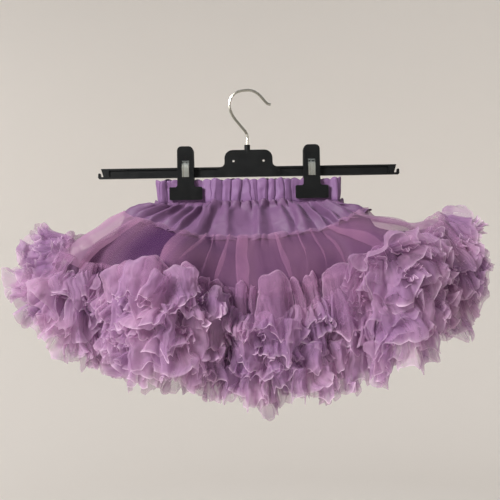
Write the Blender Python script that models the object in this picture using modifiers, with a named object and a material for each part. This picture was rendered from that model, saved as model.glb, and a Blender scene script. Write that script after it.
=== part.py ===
"""A child's tulle petticoat skirt, pinched flat at the waist in the two clips of a hanger.

Metres, +Z up, +X to the wearer's left as seen from the front, the front faces -Y.
The origin is the underside of the hook's crown, where the hanger hangs.
Lengths below are in millimetres; mm() turns them into metres.
"""
import math
from collections import namedtuple

import bmesh
import bpy
from mathutils import Matrix, Vector

# ---------------------------------------------------------------- driving dimensions (mm)
BAR_TOP = -82.5              # height of the hanger bar's top edge
BAR_HEIGHT = 11.0
BAR_DEPTH = 6.0
BAR_HALF = 162.0             # half the bar's length, without its nibs
BAR_LEAN = 2.6               # how far each end slants inwards on its way down
# The nib at each end, as x beyond the bar's half length and height above its lower edge:
# the outline before its ball, the ball's centre and radius, the outline after it.
NIB_INNER = ((-BAR_LEAN, 2.2), (0.3, 2.2))
NIB_BALL, NIB_RADIUS = (1.9, 5.0), 1.3
NIB_OUTER = ((3.3, 1.2), (2.2, 0.0))
PLATE_TOP = -64.0            # the rounded plate that carries the hook
PLATE_HALF = 26.4
PLATE_CORNER = 9.0
PLATE_FILLET = 4.5
PLATE_HOLE = 2.8             # two small holes in the plate
PLATE_HOLE_AT = (16.5, -76.0)
RECESS_DEPTH = 1.8           # shallow recess in each face of the bar
RECESS_RIM = 1.9
RECESS_FROM_END, RECESS_FROM_PLATE = 6.0, 8.0

BOSS_X = -1.2                # the boss that holds the hook's wire
BOSS_RADIUS = 3.2
BOSS_TOP = -58.4
BOSS_SUNK = 4.0              # how deep it starts in the plate
WIRE = 3.0                   # hook wire diameter
CLOSE = 0.3                  # gap that touching pieces keep

CLIP_AT = 69.0               # clip centres, left and right
CLIP_TOP = -59.6
CLIP_BOTTOM = -118.0
LEVER_WIDTH = 17.4
LEVER_CORNER = 4.5
JAW_WIDTH = 36.0
JAW_HEIGHT = 14.2
JAW_CORNER = 1.2
NECK_FILLET = ((0.5, 1.5), (2.0, 0.0))     # x beyond the lever's side, height above the jaw
PLASTIC = 3.0                # thickness of the clip's levers
LEVER_TILT = math.radians(4.0)
WINDOW = (8.6, -75.0, -94.0)     # window in each lever: width, top, bottom
CHEEK_FROM = 4.5             # ribs beside the window that ride on the bar: nearest x,
CHEEK_REACH = 6.6            # how deep they start in the lever, and their heights
CHEEK_TOP, CHEEK_BOTTOM = -80.0, -95.0
SPRING_WIDTH = 7.6
SPRING_STEEL = 0.8
SPRING_POINTS = 15
# Spring strip from the front window over the bar to the back one: y and z of its middle.
SPRING_ROUTE = (
    (-7.4, -93.2), (-8.0, -84.5), (-7.0, -78.2), (-4.0, -75.8), (0.0, -75.0),
    (4.0, -75.8), (7.0, -78.2), (8.0, -84.5), (7.4, -93.2),
)

BAND_LOOP = 412.0            # the gathered waistband's length right round
BACK = BAND_LOOP / 2         # centre back, as a place along the band from the centre front
BAND_TOP = -94.3
BAND_BOTTOM = -121.5
BAND_STAND = 5.6             # from the hanger's plane to the middle of each band wall
BAND_STRAIGHT = (BAND_LOOP - 2 * math.pi * BAND_STAND) / 4      # from the middle to a turned end
BAND_PINCHED = 2.0           # the same between the jaws
PINCH_WIDTH = 19.0           # half the stretch of band that each clip flattens
PINCH_EASE = 10.0            # beside it, where the band opens again
PINCH_FADE = 1 / 3           # level below the band at which the clips' grip is lost
BAND_WALL = 2.0
JAW_FACE = BAND_PINCHED + BAND_WALL / 2 + CLOSE     # from the hanger's plane to each jaw
SATIN_WALL = 1.8
TULLE_WALL = 1.8
SIDE_SEAM = 0.5              # gap at the band's two side seams
SEAM = 1.0                   # gap along the cloth where one tier meets the next

AROUND = 144                 # points round each tier
# Slow waves that space the gathers unevenly and vary their height: how much, how many.
SPACING_DRIFTS = ((0.9, 3), (0.6, 7))
HEIGHT_DRIFT = (0.2, 5)
GATHER_SHIFT = 0.6           # turns the yoke's and the upper tier's folds to new places
BAND_POINTS = 88             # points along each wall of the band
BAND_GATHERS = 44            # gathers round the waistband
BAND_WAVE = 1.3              # how far each gather stands out and in
YOKE_GATHERS = 36
YOKE_EDGE_WAVE, YOKE_WAVE = 0.35, 2.3      # depth of the folds at the seams, and added between
TIER_GATHERS = 30
TIER_EDGE_WAVE, TIER_WAVE = 0.7, 2.6
RUFFLE_WAVES = 30            # waves in each row of ruffles

# Where the cloth lies. A row is one fold's crest or valley: `along` is its place along the
# waistband from the centre front (to the right positive, BACK is the centre back), then the
# x, y and z of the yoke's lower seam, of the top of the ruffled band and of the hem, and how
# far the ruffles stand off the cloth there.
Fold = namedtuple("Fold", "name along seam band hem stand")
FOLDS = (
    Fold("back left lobe", -160, (-60, 14, -155), (-88, 26, -214), (-113, 28, -310), 18),
    Fold("back left valley", -132, (-99, 10, -146), (-136, 17, -192), (-160, 18, -284), 14),
    Fold("back far left", -114, (-124, 8, -136), (-178, 18, -164), (-218, 23, -238), 17),
    Fold("far left", -103, (-138, 0, -132), (-190, -2, -158), (-243, -6, -206), 29),
    Fold("far left front", -92, (-127, -16, -138), (-185, -44, -177), (-203, -57, -254), 27),
    Fold("left valley", -76, (-105, -22, -145), (-150, -35, -187), (-154, -35, -279), 12),
    Fold("left front lobe", -52, (-65, -38, -157), (-86, -90, -194), (-89, -108, -290), 34),
    Fold("left inner valley", -22, (-29, -32, -161), (-33, -66, -208), (-38, -76, -306), 20),
    Fold("front middle", 14, (18, -34, -161), (23, -74, -215), (29, -86, -311), 28),
    Fold("right inner valley", 50, (79, -29, -152), (102, -56, -196), (111, -62, -298), 16),
    Fold("right front lobe", 70, (99, -34, -145), (137, -84, -168), (152, -104, -274), 36),
    Fold("right valley", 86, (117, -19, -137), (176, -46, -162), (199, -52, -258), 19),
    Fold("far right front", 96, (126, -10, -133), (196, -34, -150), (230, -44, -232), 23),
    Fold("far right", 104, (131, 0, -132), (204, 0, -138), (250, -2, -182), 29),
    Fold("back far right", 116, (118, 8, -136), (180, 18, -157), (218, 23, -232), 17),
    Fold("back right valley", 134, (98, 10, -146), (138, 17, -188), (161, 18, -282), 14),
    Fold("back right lobe", 162, (61, 14, -155), (91, 26, -212), (114, 28, -310), 18),
    Fold("back middle", BACK, (0, 12, -160), (0, 22, -220), (0, 24, -326), 18),
)
# Levels down the cloth below the waistband: 0 its lower edge, then the columns of FOLDS.
WAIST, YOKE_SEAM, BAND_SEAM, HEM = 0.0, 1.0, 2.0, 3.0
EDGE = 0.01                  # share of a level that each tier keeps clear of its seams
LEAVE_FLARE, LEAVE_DROP = 0.3, 26.0        # how steeply the cloth leaves the waistband
NEAR_ALONG, NEAR_LEVEL = 1.5, 0.04         # steps that give the cloth's direction at a point

# Rows of ruffles: the level of the root and of the free edge, and how the waves are shifted.
Ruffle = namedtuple("Ruffle", "name root edge shift")
RUFFLES = (
    Ruffle("ruffle_row_1", 2.03, 2.50, 0.0),
    Ruffle("ruffle_row_2", 2.36, 2.84, 0.9),
    Ruffle("ruffle_row_3", 2.69, 3.19, 1.9),
)
RUFFLE_ROOT = 2.6            # from the lower tier's middle to the root's
RUFFLE_ROOT_WAVE = 0.4       # height of a wave at the root
RUFFLE_LIFT = 0.24           # what it gains to the edge, as a share of the ruffles' stand-off
RUFFLE_BELLY = 0.65          # under 1, so a ruffle springs out near its root
SCALLOP = 0.035              # how unevenly long the ruffles are, in levels
SCALLOPS = 21
LINING_ROOT = 2.3            # how far the lining lies inside the tiers at its upper edge
LINING_INSET = 6.0           # and lower down

# Levels of the rows of points that shape each tier, from its upper to its lower edge.
YOKE_LEVELS = (WAIST + 2 * EDGE, 0.42, YOKE_SEAM - EDGE)
UPPER_TIER_LEVELS = (YOKE_SEAM + EDGE, 1.55, BAND_SEAM - EDGE)
LOWER_TIER_LEVELS = (BAND_SEAM + EDGE, RUFFLES[1].root, RUFFLES[2].root + 2 * EDGE)
LINING_LEVELS = (0.96, 1.7, 2.55)

# Hook wire, from the boss round the crown to the turned-out tip: x and z of its centreline.
HOOK_ROUTE = (
    (-1.2, -58.1), (-1.4, -46.5), (-8.8, -36.5), (-16.6, -26.0), (-20.0, -16.0), (-18.6, -7.0),
    (-12.6, -0.6), (-4.6, 1.5), (4.4, 1.4), (11.6, -2.3), (17.4, -8.6), (21.6, -13.4),
    (25.4, -14.6),
)
HOOK_POINTS = 30

# Finishes of the materials; the colour is linear, with its alpha.
Finish = namedtuple("Finish", "colour roughness metallic")
BLACK_PLASTIC = Finish((0.013, 0.015, 0.015, 1.0), 0.42, 0.0)
CHROME = Finish((0.62, 0.62, 0.60, 1.0), 0.22, 1.0)
STEEL = Finish((0.50, 0.52, 0.50, 1.0), 0.32, 1.0)
LILAC_SATIN = Finish((0.37, 0.19, 0.43, 1.0), 0.48, 0.0)
VIOLET_LINING = Finish((0.14, 0.06, 0.20, 1.0), 0.60, 0.0)
LILAC_TULLE = Finish((0.44, 0.22, 0.45, 1.0), 0.75, 0.0)


def mm(*lengths):
    """Millimetres to metres: a number from one length, a Vector from three."""
    return Vector(lengths) / 1000.0 if len(lengths) > 1 else lengths[0] / 1000.0


# ---------------------------------------------------------------- scene helpers
def clear_scene():
    """Start from an empty scene."""
    for old in list(bpy.data.objects):
        bpy.data.objects.remove(old, do_unlink=True)


def new_collection(name):
    """A collection linked into the scene."""
    collection = bpy.data.collections.new(name)
    bpy.context.scene.collection.children.link(collection)
    return collection


def principled(name, finish):
    """A material of its own for the piece."""
    material = bpy.data.materials.new(name)
    material.use_nodes = True
    shader = material.node_tree.nodes["Principled BSDF"]
    shader.inputs["Base Color"].default_value = finish.colour
    shader.inputs["Roughness"].default_value = finish.roughness
    shader.inputs["Metallic"].default_value = finish.metallic
    return material


def add_piece(name, mesh, finish):
    """One named sub-part in the skirt's collection."""
    piece = bpy.data.objects.new(name, mesh)
    mesh.materials.clear()
    mesh.materials.append(principled(name, finish))
    SKIRT.objects.link(piece)
    return piece


def add_cutter(name, mesh):
    """A guide body that a Boolean uses and the build leaves out."""
    cutter = bpy.data.objects.new(name, mesh)
    cutter.hide_render = True
    cutter.display_type = "WIRE"
    CUTTERS.objects.link(cutter)
    return cutter


def boolean(piece, operation, tool):
    """Join the tool to the piece, or cut it away."""
    modifier = piece.modifiers.new(operation.lower() + "_" + tool.name, "BOOLEAN")
    modifier.operation = operation
    modifier.solver = "EXACT"
    modifier.object = tool


def box_mesh(name, low, high):
    """A box between two corners."""
    centre = (mm(*low) + mm(*high)) / 2
    size = mm(*high) - mm(*low)
    bm = bmesh.new()
    bmesh.ops.create_cube(bm, size=1.0)
    bmesh.ops.scale(bm, vec=size, verts=bm.verts)
    bmesh.ops.translate(bm, vec=centre, verts=bm.verts)
    return finish_bmesh(bm, name)


def cylinder_mesh(name, radius, low, high, axis, sides=20):
    """A cylinder between two points that differ along one axis only."""
    start, end = mm(*low), mm(*high)
    bm = bmesh.new()
    bmesh.ops.create_cone(bm, cap_ends=True, segments=sides, radius1=mm(radius),
                          radius2=mm(radius), depth=(end - start).length)
    turn = Vector((0, 0, 1)).rotation_difference(Vector(axis)).to_matrix()
    bmesh.ops.rotate(bm, cent=(0, 0, 0), matrix=turn, verts=bm.verts)
    bmesh.ops.translate(bm, vec=(start + end) / 2, verts=bm.verts)
    return finish_bmesh(bm, name)


def finish_bmesh(bm, name):
    """The bmesh as a new mesh of that name."""
    mesh = bpy.data.meshes.new(name)
    bm.to_mesh(mesh)
    bm.free()
    return mesh


def mesh_from_curve(name, curve):
    """The curve as a closed mesh, its caps welded on."""
    source = bpy.data.objects.new(name + "_curve", curve)
    bpy.context.scene.collection.objects.link(source)
    graph = bpy.context.evaluated_depsgraph_get()
    mesh = bpy.data.meshes.new_from_object(source.evaluated_get(graph))
    bm = bmesh.new()
    bm.from_mesh(mesh)
    bmesh.ops.remove_doubles(bm, verts=bm.verts, dist=mm(0.02))
    bpy.data.objects.remove(source, do_unlink=True)
    return finish_bmesh(bm, name)


def flat_outline(name, loops, thickness, y_middle):
    """A flat piece in the XZ plane from closed outlines; inner outlines are its holes."""
    curve = bpy.data.curves.new(name, "CURVE")
    curve.dimensions = "2D"
    curve.fill_mode = "BOTH"
    curve.extrude = mm(thickness) / 2
    for loop in loops:
        spline = curve.splines.new("POLY")
        spline.points.add(len(loop) - 1)
        for point, (x, z) in zip(spline.points, loop):
            point.co = (mm(x), mm(z), 0.0, 1.0)
        spline.use_cyclic_u = True
    mesh = mesh_from_curve(name, curve)
    for vertex in mesh.vertices:
        x, z, y = vertex.co
        vertex.co = (x, mm(y_middle) - y, z)
    return mesh


def arc(centre, radius, start, end, steps):
    """Points of an arc, with the angles in degrees."""
    points = []
    for step in range(steps + 1):
        angle = math.radians(start + (end - start) * step / steps)
        points.append((centre[0] + radius * math.cos(angle), centre[1] + radius * math.sin(angle)))
    return points


def mirrored(points):
    """The same outline on the other side of x = 0, in the opposite order."""
    return [(-x, z) for x, z in reversed(points)]


# ---------------------------------------------------------------- smooth routes through tables
def hermite(before, start, end, after, knots, t):
    """Point between start and end, smooth through four neighbours with uneven knots."""
    k0, k1, k2, k3 = knots
    span = k2 - k1
    leave = (end - before) * (span / (k2 - k0))
    arrive = (after - start) * (span / (k3 - k1))
    h1 = 2 * t ** 3 - 3 * t ** 2 + 1
    h2 = t ** 3 - 2 * t ** 2 + t
    h3 = -2 * t ** 3 + 3 * t ** 2
    h4 = t ** 3 - t ** 2
    return start * h1 + leave * h2 + end * h3 + arrive * h4


def smooth_route(points, count):
    """`count` points on a smooth open curve through the given ones."""
    ends = [2 * points[0] - points[1]] + points + [2 * points[-1] - points[-2]]
    knots = [0.0]
    for a, b in zip(ends, ends[1:]):
        knots.append(knots[-1] + (b - a).length)
    first, last = knots[1], knots[-2]
    route = []
    for index in range(count):
        at = first + (last - first) * index / (count - 1)
        i = max(j for j in range(1, len(points)) if knots[j] <= at + 1e-9)
        t = (at - knots[i]) / (knots[i + 1] - knots[i])
        route.append(hermite(*ends[i - 1:i + 3], knots[i - 1:i + 3], t))
    return route


def from_front(along):
    """The same place along the band, counted the short way from the centre front."""
    return (along + BACK) % BAND_LOOP - BACK


def fold_value(column, along):
    """One column of FOLDS at any place along the waistband, smooth right round."""
    along = from_front(along)
    count = len(FOLDS)
    places = [fold.along for fold in FOLDS]
    i = max((j for j in range(count) if places[j] <= along), default=-1)
    rows = [(i + step) % count for step in (-1, 0, 1, 2)]
    knots = [places[j % count] + BAND_LOOP * (j // count) for j in range(i - 1, i + 3)]
    values = [getattr(FOLDS[row], column) for row in rows]
    if column != "stand":
        values = [Vector(value) for value in values]
    t = (along - knots[1]) / (knots[2] - knots[1])
    return hermite(*values, knots, t)


# ---------------------------------------------------------------- the cloth's surfaces
def pinch(x):
    """0 in the open, 1 between a clip's jaws."""
    off = min(abs(x - CLIP_AT), abs(x + CLIP_AT))
    ease = min(max((off - PINCH_WIDTH) / PINCH_EASE, 0.0), 1.0)
    return 1.0 - ease * ease * (3.0 - 2.0 * ease)


def band_place(along):
    """Middle of the band's wall at a place along it: a long flat loop, as (x, y)."""
    along = from_front(along)
    side = 1.0 if along >= 0 else -1.0
    run = abs(along)
    if run <= BAND_STRAIGHT:
        x, y = run, -1.0
    elif run >= BACK - BAND_STRAIGHT:
        x, y = BACK - run, 1.0
    else:
        turn = (run - BAND_STRAIGHT) / BAND_STAND
        x, y = BAND_STRAIGHT + BAND_STAND * math.sin(turn), -math.cos(turn)
    squeeze = BAND_PINCHED + (BAND_STAND - BAND_PINCHED) * (1.0 - pinch(x))
    return side * x, y * squeeze


def gathers(share, count, shift):
    """Unevenly spaced waves at a share of the way round the cloth, -1 to 1."""
    turn = 2 * math.pi * share
    uneven = sum(amount * math.sin(waves * turn + (i + 1) * shift + i)
                 for i, (amount, waves) in enumerate(SPACING_DRIFTS))
    drift, waves = HEIGHT_DRIFT
    height = 1.0 - drift + drift * math.sin(waves * turn + shift)
    return height * math.cos(count * turn + uneven + shift)


def cloth_place(along, level):
    """The ungathered cloth below the waistband at one place and level, in mm."""
    x, y = band_place(along)
    start = Vector((x, y, BAND_BOTTOM))
    seam, band, hem = (fold_value(column, along) for column in ("seam", "band", "hem"))
    above = start + Vector((LEAVE_FLARE * (x - seam.x), LEAVE_FLARE * (y - seam.y), LEAVE_DROP))
    below = 2 * hem - band
    rows = (above, start, seam, band, hem, below, 2 * below - hem)
    i = min(int(level), 3)
    return hermite(*rows[i:i + 4], (0.0, 1.0, 2.0, 3.0), level - i)


def cloth_normal(along, level):
    """Unit normal of the cloth, pointing out of the skirt."""
    left, right = (cloth_place(along + side * NEAR_ALONG, level) for side in (-1, 1))
    upper = cloth_place(along, max(level - NEAR_LEVEL, WAIST))
    lower = cloth_place(along, level + NEAR_LEVEL)
    return (lower - upper).cross(right - left).normalized()


def wall_from_rows(name, rows, thickness, finish, closed=True):
    """A cloth wall: rows of points become an open surface, and Solidify gives its thickness."""
    bm = bmesh.new()
    grid = [[bm.verts.new(mm(*point)) for point in row] for row in rows]
    count = len(rows[0])
    for upper, lower in zip(grid, grid[1:]):
        for i in range(count if closed else count - 1):
            j = (i + 1) % count
            bm.faces.new((upper[i], lower[i], lower[j], upper[j]))
    mesh = finish_bmesh(bm, name)
    mesh.shade_smooth()
    piece = add_piece(name, mesh, finish)
    wall = piece.modifiers.new("wall", "SOLIDIFY")
    wall.thickness = mm(thickness)
    wall.offset = 0.0
    return piece


def even_places(level):
    """Places along the waistband, with their shares, that are evenly spaced at a level."""
    fine = [BAND_LOOP * i / AROUND / 4 - BACK for i in range(4 * AROUND + 1)]
    points = [cloth_place(along, level) for along in fine]
    run = [0.0]
    for a, b in zip(points, points[1:]):
        run.append(run[-1] + (b - a).length)
    places = []
    for i in range(AROUND):
        share = (i + 0.5) / AROUND
        j = max(k for k in range(len(run)) if run[k] <= share * run[-1])
        part = (share * run[-1] - run[j]) / (run[j + 1] - run[j])
        places.append((share, fine[j] + part * (fine[j + 1] - fine[j])))
    return places


def tier_rows(places, levels, offset):
    """Rows of points right round the cloth, moved out by offset(share, along, level)."""
    rows = []
    for level in levels:
        row = []
        for share, along in places:
            point = cloth_place(along, level)
            row.append(point + cloth_normal(along, level) * offset(share, along, level))
        rows.append(row)
    return rows


def build_waistband():
    """Front and back wall of the elastic casing, with its fine gathers."""
    heights = (BAND_TOP, (BAND_TOP + BAND_BOTTOM) / 2, BAND_BOTTOM + SEAM)
    reach = BAND_LOOP / 4 - SIDE_SEAM / 2
    for name, middle in (("waistband_front", 0.0), ("waistband_back", BACK)):
        rows = []
        for height in heights:
            row = []
            for i in range(BAND_POINTS + 1):
                along = middle - reach + 2 * reach * i / BAND_POINTS
                x, y = band_place(along)
                wave = BAND_WAVE * (1.0 - pinch(x)) * gathers(along / BAND_LOOP, BAND_GATHERS, 0.0)
                turned = min(abs(y) / BAND_STAND, 1.0)
                row.append((x, y + math.copysign(wave * turned, y), height))
            rows.append(row)
        wall_from_rows(name, rows, BAND_WALL, LILAC_SATIN, closed=False)


def build_yoke():
    """The hip piece, its soft folds deepest in the middle and radiating from the waist."""
    def offset(share, along, level):
        free = 1.0 - pinch(band_place(along)[0]) * max(0.0, 1.0 - level / PINCH_FADE)
        deep = YOKE_EDGE_WAVE + YOKE_WAVE * math.sin(math.pi * level)
        return free * deep * (1.0 + gathers(share, YOKE_GATHERS, GATHER_SHIFT))
    shares = [(i + 0.5) / AROUND for i in range(AROUND)]
    places = [(share, BAND_LOOP * share - BACK) for share in shares]
    wall_from_rows("yoke", tier_rows(places, YOKE_LEVELS, offset), SATIN_WALL, LILAC_SATIN)


def build_upper_tier(places):
    """Sheer tulle from the yoke's seam to the ruffled band, its folds deepest half way."""
    def offset(share, along, level):
        deep = TIER_EDGE_WAVE + TIER_WAVE * math.sin(math.pi * (level - YOKE_SEAM))
        return deep * (1.0 + gathers(share, TIER_GATHERS, GATHER_SHIFT))
    rows = tier_rows(places, UPPER_TIER_LEVELS, offset)
    wall_from_rows("upper_tier", rows, TULLE_WALL, LILAC_TULLE)


def build_lower_tier(places):
    """The fuller tulle tier that the ruffles are sewn on; its hem is under the last one."""
    rows = tier_rows(places, LOWER_TIER_LEVELS, lambda share, along, level: 0.0)
    wall_from_rows("lower_tier", rows, TULLE_WALL, LILAC_TULLE)


def build_lining(places):
    """Plain under-skirt that leaves the yoke's seam and hangs inside the tiers."""
    def offset(share, along, level):
        return -LINING_ROOT - (LINING_INSET - LINING_ROOT) * min(1.0, level - LINING_LEVELS[0])
    rows = tier_rows(places, LINING_LEVELS, offset)
    wall_from_rows("lining", rows, TULLE_WALL, VIOLET_LINING)


def build_ruffle(ruffle, places):
    """One gathered strip that springs from its root seam to a waving free edge."""
    span = ruffle.edge - ruffle.root

    def offset(share, along, level):
        down = (level - ruffle.root) / span
        stand = fold_value("stand", along)
        height = RUFFLE_ROOT_WAVE + RUFFLE_LIFT * stand * down
        wave = height * gathers(share, RUFFLE_WAVES, ruffle.shift)
        return RUFFLE_ROOT + (stand - RUFFLE_ROOT) * down ** RUFFLE_BELLY + wave
    rows = tier_rows(places, (ruffle.root, ruffle.root + span / 2), offset)
    edge = []
    for share, along in places:
        level = ruffle.edge + SCALLOP * gathers(share, SCALLOPS, 2 * ruffle.shift)
        edge += tier_rows([(share, along)], (level,), offset)[0]
    wall_from_rows(ruffle.name, rows + [edge], TULLE_WALL, LILAC_TULLE)


# ---------------------------------------------------------------- the hanger
def build_bar():
    """Bar, hook plate and end nibs from one outline; recesses and holes cut from it."""
    bottom = BAR_TOP - BAR_HEIGHT
    low_end = BAR_HALF - BAR_LEAN
    half = arc((PLATE_HALF - PLATE_CORNER, PLATE_TOP - PLATE_CORNER), PLATE_CORNER, 90, 0, 5)
    half += arc((PLATE_HALF + PLATE_FILLET, BAR_TOP + PLATE_FILLET), PLATE_FILLET, 180, 270, 3)
    half += [(BAR_HALF, BAR_TOP)] + [(BAR_HALF + x, bottom + z) for x, z in NIB_INNER]
    half += arc((BAR_HALF + NIB_BALL[0], bottom + NIB_BALL[1]), NIB_RADIUS, 200, -20, 5)
    half += [(BAR_HALF + x, bottom + z) for x, z in NIB_OUTER]
    bar = add_piece("hanger_bar", flat_outline("hanger_bar", [half + mirrored(half)],
                                               BAR_DEPTH, 0.0), BLACK_PLASTIC)
    face = BAR_DEPTH / 2
    boss = cylinder_mesh("boss", BOSS_RADIUS, (BOSS_X, 0, PLATE_TOP - BOSS_SUNK),
                         (BOSS_X, 0, BOSS_TOP), (0, 0, 1))
    boolean(bar, "UNION", add_cutter("boss", boss))
    for side in (-1, 1):
        inner, outer = sorted((side * (PLATE_HALF + RECESS_FROM_PLATE),
                               side * (low_end - RECESS_FROM_END)))
        for front in (-1, 1):
            deep, proud = sorted((front * (face - RECESS_DEPTH), front * (face + 1)))
            recess = box_mesh("recess", (inner, deep, bottom + RECESS_RIM),
                              (outer, proud, BAR_TOP - RECESS_RIM))
            boolean(bar, "DIFFERENCE", add_cutter(f"recess_{side}_{front}", recess))
        x, z = side * PLATE_HOLE_AT[0], PLATE_HOLE_AT[1]
        hole = cylinder_mesh("hole", PLATE_HOLE / 2, (x, -face - 1, z), (x, face + 1, z),
                             (0, 1, 0), 12)
        boolean(bar, "DIFFERENCE", add_cutter(f"plate_hole_{side}", hole))


def build_hook():
    """The wire hook, standing in the plate's boss."""
    curve = bpy.data.curves.new("hanger_hook", "CURVE")
    curve.dimensions = "3D"
    curve.bevel_depth = mm(WIRE) / 2
    curve.bevel_resolution = 2
    curve.use_fill_caps = True
    route = smooth_route([mm(x, 0, z) for x, z in HOOK_ROUTE], HOOK_POINTS)
    spline = curve.splines.new("POLY")
    spline.points.add(len(route) - 1)
    for point, place in zip(spline.points, route):
        point.co = (*place, 1.0)
    mesh = mesh_from_curve("hanger_hook", curve)
    mesh.shade_smooth()
    add_piece("hanger_hook", mesh, CHROME)


def lever_outline():
    """T-shaped lever: round-topped handle, neck and jaw, as one closed outline."""
    top, jaw_top = CLIP_TOP, CLIP_BOTTOM + JAW_HEIGHT
    handle, jaw = LEVER_WIDTH / 2, JAW_WIDTH / 2
    half = arc((handle - LEVER_CORNER, top - LEVER_CORNER), LEVER_CORNER, 90, 0, 3)
    half += [(handle + x, jaw_top + z) for x, z in NECK_FILLET]
    half += arc((jaw - JAW_CORNER, jaw_top - JAW_CORNER), JAW_CORNER, 90, 0, 2)
    half += arc((jaw - JAW_CORNER, CLIP_BOTTOM + JAW_CORNER), JAW_CORNER, 0, -90, 2)
    return half + mirrored(half)


def lever_mesh(name, front):
    """One lever's plate on x = 0, leaning out from the lower edge of its jaw."""
    width, window_top, window_bottom = WINDOW
    window = [(-width / 2, window_top), (width / 2, window_top),
              (width / 2, window_bottom), (-width / 2, window_bottom)]
    bm = bmesh.new()
    bm.from_mesh(flat_outline(name, [lever_outline(), window], PLASTIC, -JAW_FACE - PLASTIC / 2))
    bmesh.ops.rotate(bm, cent=mm(0, -JAW_FACE, CLIP_BOTTOM), verts=bm.verts,
                     matrix=Matrix.Rotation(LEVER_TILT, 3, "X"))
    if front < 0:
        bmesh.ops.scale(bm, vec=(1, -1, 1), verts=bm.verts)
        bmesh.ops.reverse_faces(bm, faces=bm.faces)
    return finish_bmesh(bm, name)


def build_clip(side_name, x_middle):
    """Two levers that lean apart towards the top, and the spring strip astride the bar."""
    for face_name, front in (("front", 1), ("back", -1)):
        name = f"clip_{side_name}_{face_name}"
        mesh = lever_mesh(name, front)
        mesh.transform(Matrix.Translation(mm(x_middle, 0, 0)))
        lever = add_piece(name, mesh, BLACK_PLASTIC)
        for side in (-1, 1):
            near, far = sorted((side * CHEEK_FROM, side * LEVER_WIDTH / 2))
            back, proud = sorted((-front * CHEEK_REACH, -front * (BAR_DEPTH / 2 + CLOSE)))
            cheek = box_mesh("cheek", (x_middle + near, back, CHEEK_BOTTOM),
                             (x_middle + far, proud, CHEEK_TOP))
            boolean(lever, "UNION", add_cutter(f"cheek_{name}_{side}", cheek))
    route = smooth_route([mm(0, y, z) for y, z in SPRING_ROUTE], SPRING_POINTS)
    rows = [[(x_middle + side * SPRING_WIDTH / 2, p.y * 1000, p.z * 1000) for p in route]
            for side in (-1, 1)]
    wall_from_rows(f"clip_{side_name}_spring", rows, SPRING_STEEL, STEEL, closed=False)


# ---------------------------------------------------------------- the whole part
def build():
    """Every piece of the hanger and the skirt."""
    build_bar()
    build_hook()
    build_clip("left", -CLIP_AT)
    build_clip("right", CLIP_AT)
    build_waistband()
    build_yoke()
    places = even_places(RUFFLES[0].edge)
    build_lining(places)
    build_upper_tier(places)
    build_lower_tier(places)
    for ruffle in RUFFLES:
        build_ruffle(ruffle, places)


clear_scene()
SKIRT = new_collection("Tulle skirt on clip hanger")
CUTTERS = new_collection("Cutters")
build()
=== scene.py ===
"""The looks of a child's tulle petticoat skirt that hangs by its waist in a clip hanger.

Lengths are in millimetres until a mesh is made; +Z is up and the skirt's front faces -Y.
"""
import math
from collections import namedtuple
from itertools import product

import bmesh
import bpy
import numpy as np
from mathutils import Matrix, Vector


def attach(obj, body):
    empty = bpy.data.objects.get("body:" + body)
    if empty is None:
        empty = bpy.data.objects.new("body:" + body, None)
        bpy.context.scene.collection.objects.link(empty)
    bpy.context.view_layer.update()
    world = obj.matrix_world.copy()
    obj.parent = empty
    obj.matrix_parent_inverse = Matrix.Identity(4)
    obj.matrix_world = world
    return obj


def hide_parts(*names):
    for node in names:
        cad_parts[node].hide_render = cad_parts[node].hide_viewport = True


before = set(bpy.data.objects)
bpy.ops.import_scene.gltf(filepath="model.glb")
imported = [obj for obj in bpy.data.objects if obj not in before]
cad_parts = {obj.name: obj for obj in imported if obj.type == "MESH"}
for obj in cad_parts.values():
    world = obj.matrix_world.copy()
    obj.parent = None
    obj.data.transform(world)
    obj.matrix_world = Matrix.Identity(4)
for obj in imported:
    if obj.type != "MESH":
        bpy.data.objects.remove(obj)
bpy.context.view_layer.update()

# ---------------------------------------------------------------- the skirt's sizes (mm)
BAND_LOOP = 412.0            # the gathered waistband's length right round
BACK = BAND_LOOP / 2         # centre back, as a place along the band from the centre front
BAND_TOP, BAND_BOTTOM = -94.3, -121.5
BAND_STAND = 5.6             # from the hanger's plane to the middle of each band wall
BAND_STRAIGHT = (BAND_LOOP - 2 * math.pi * BAND_STAND) / 4
BAND_PINCHED = 2.0           # the same, between the jaws
CLIP_AT = 69.0               # clip centres, left and right
PINCH_WIDTH, PINCH_EASE = 19.0, 10.0       # half the stretch that a clip flattens, and beside it
LEAVE_FLARE, LEAVE_DROP = 0.3, 26.0        # how steeply the cloth leaves the waistband
NEAR_ALONG, NEAR_LEVEL = 1.5, 0.04         # steps that give the cloth's direction at a point
FALL_LEVEL = 0.3             # a step down the cloth that gives the way it falls


def table(kind, *rows):
    return tuple(kind(*row) for row in rows)


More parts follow.
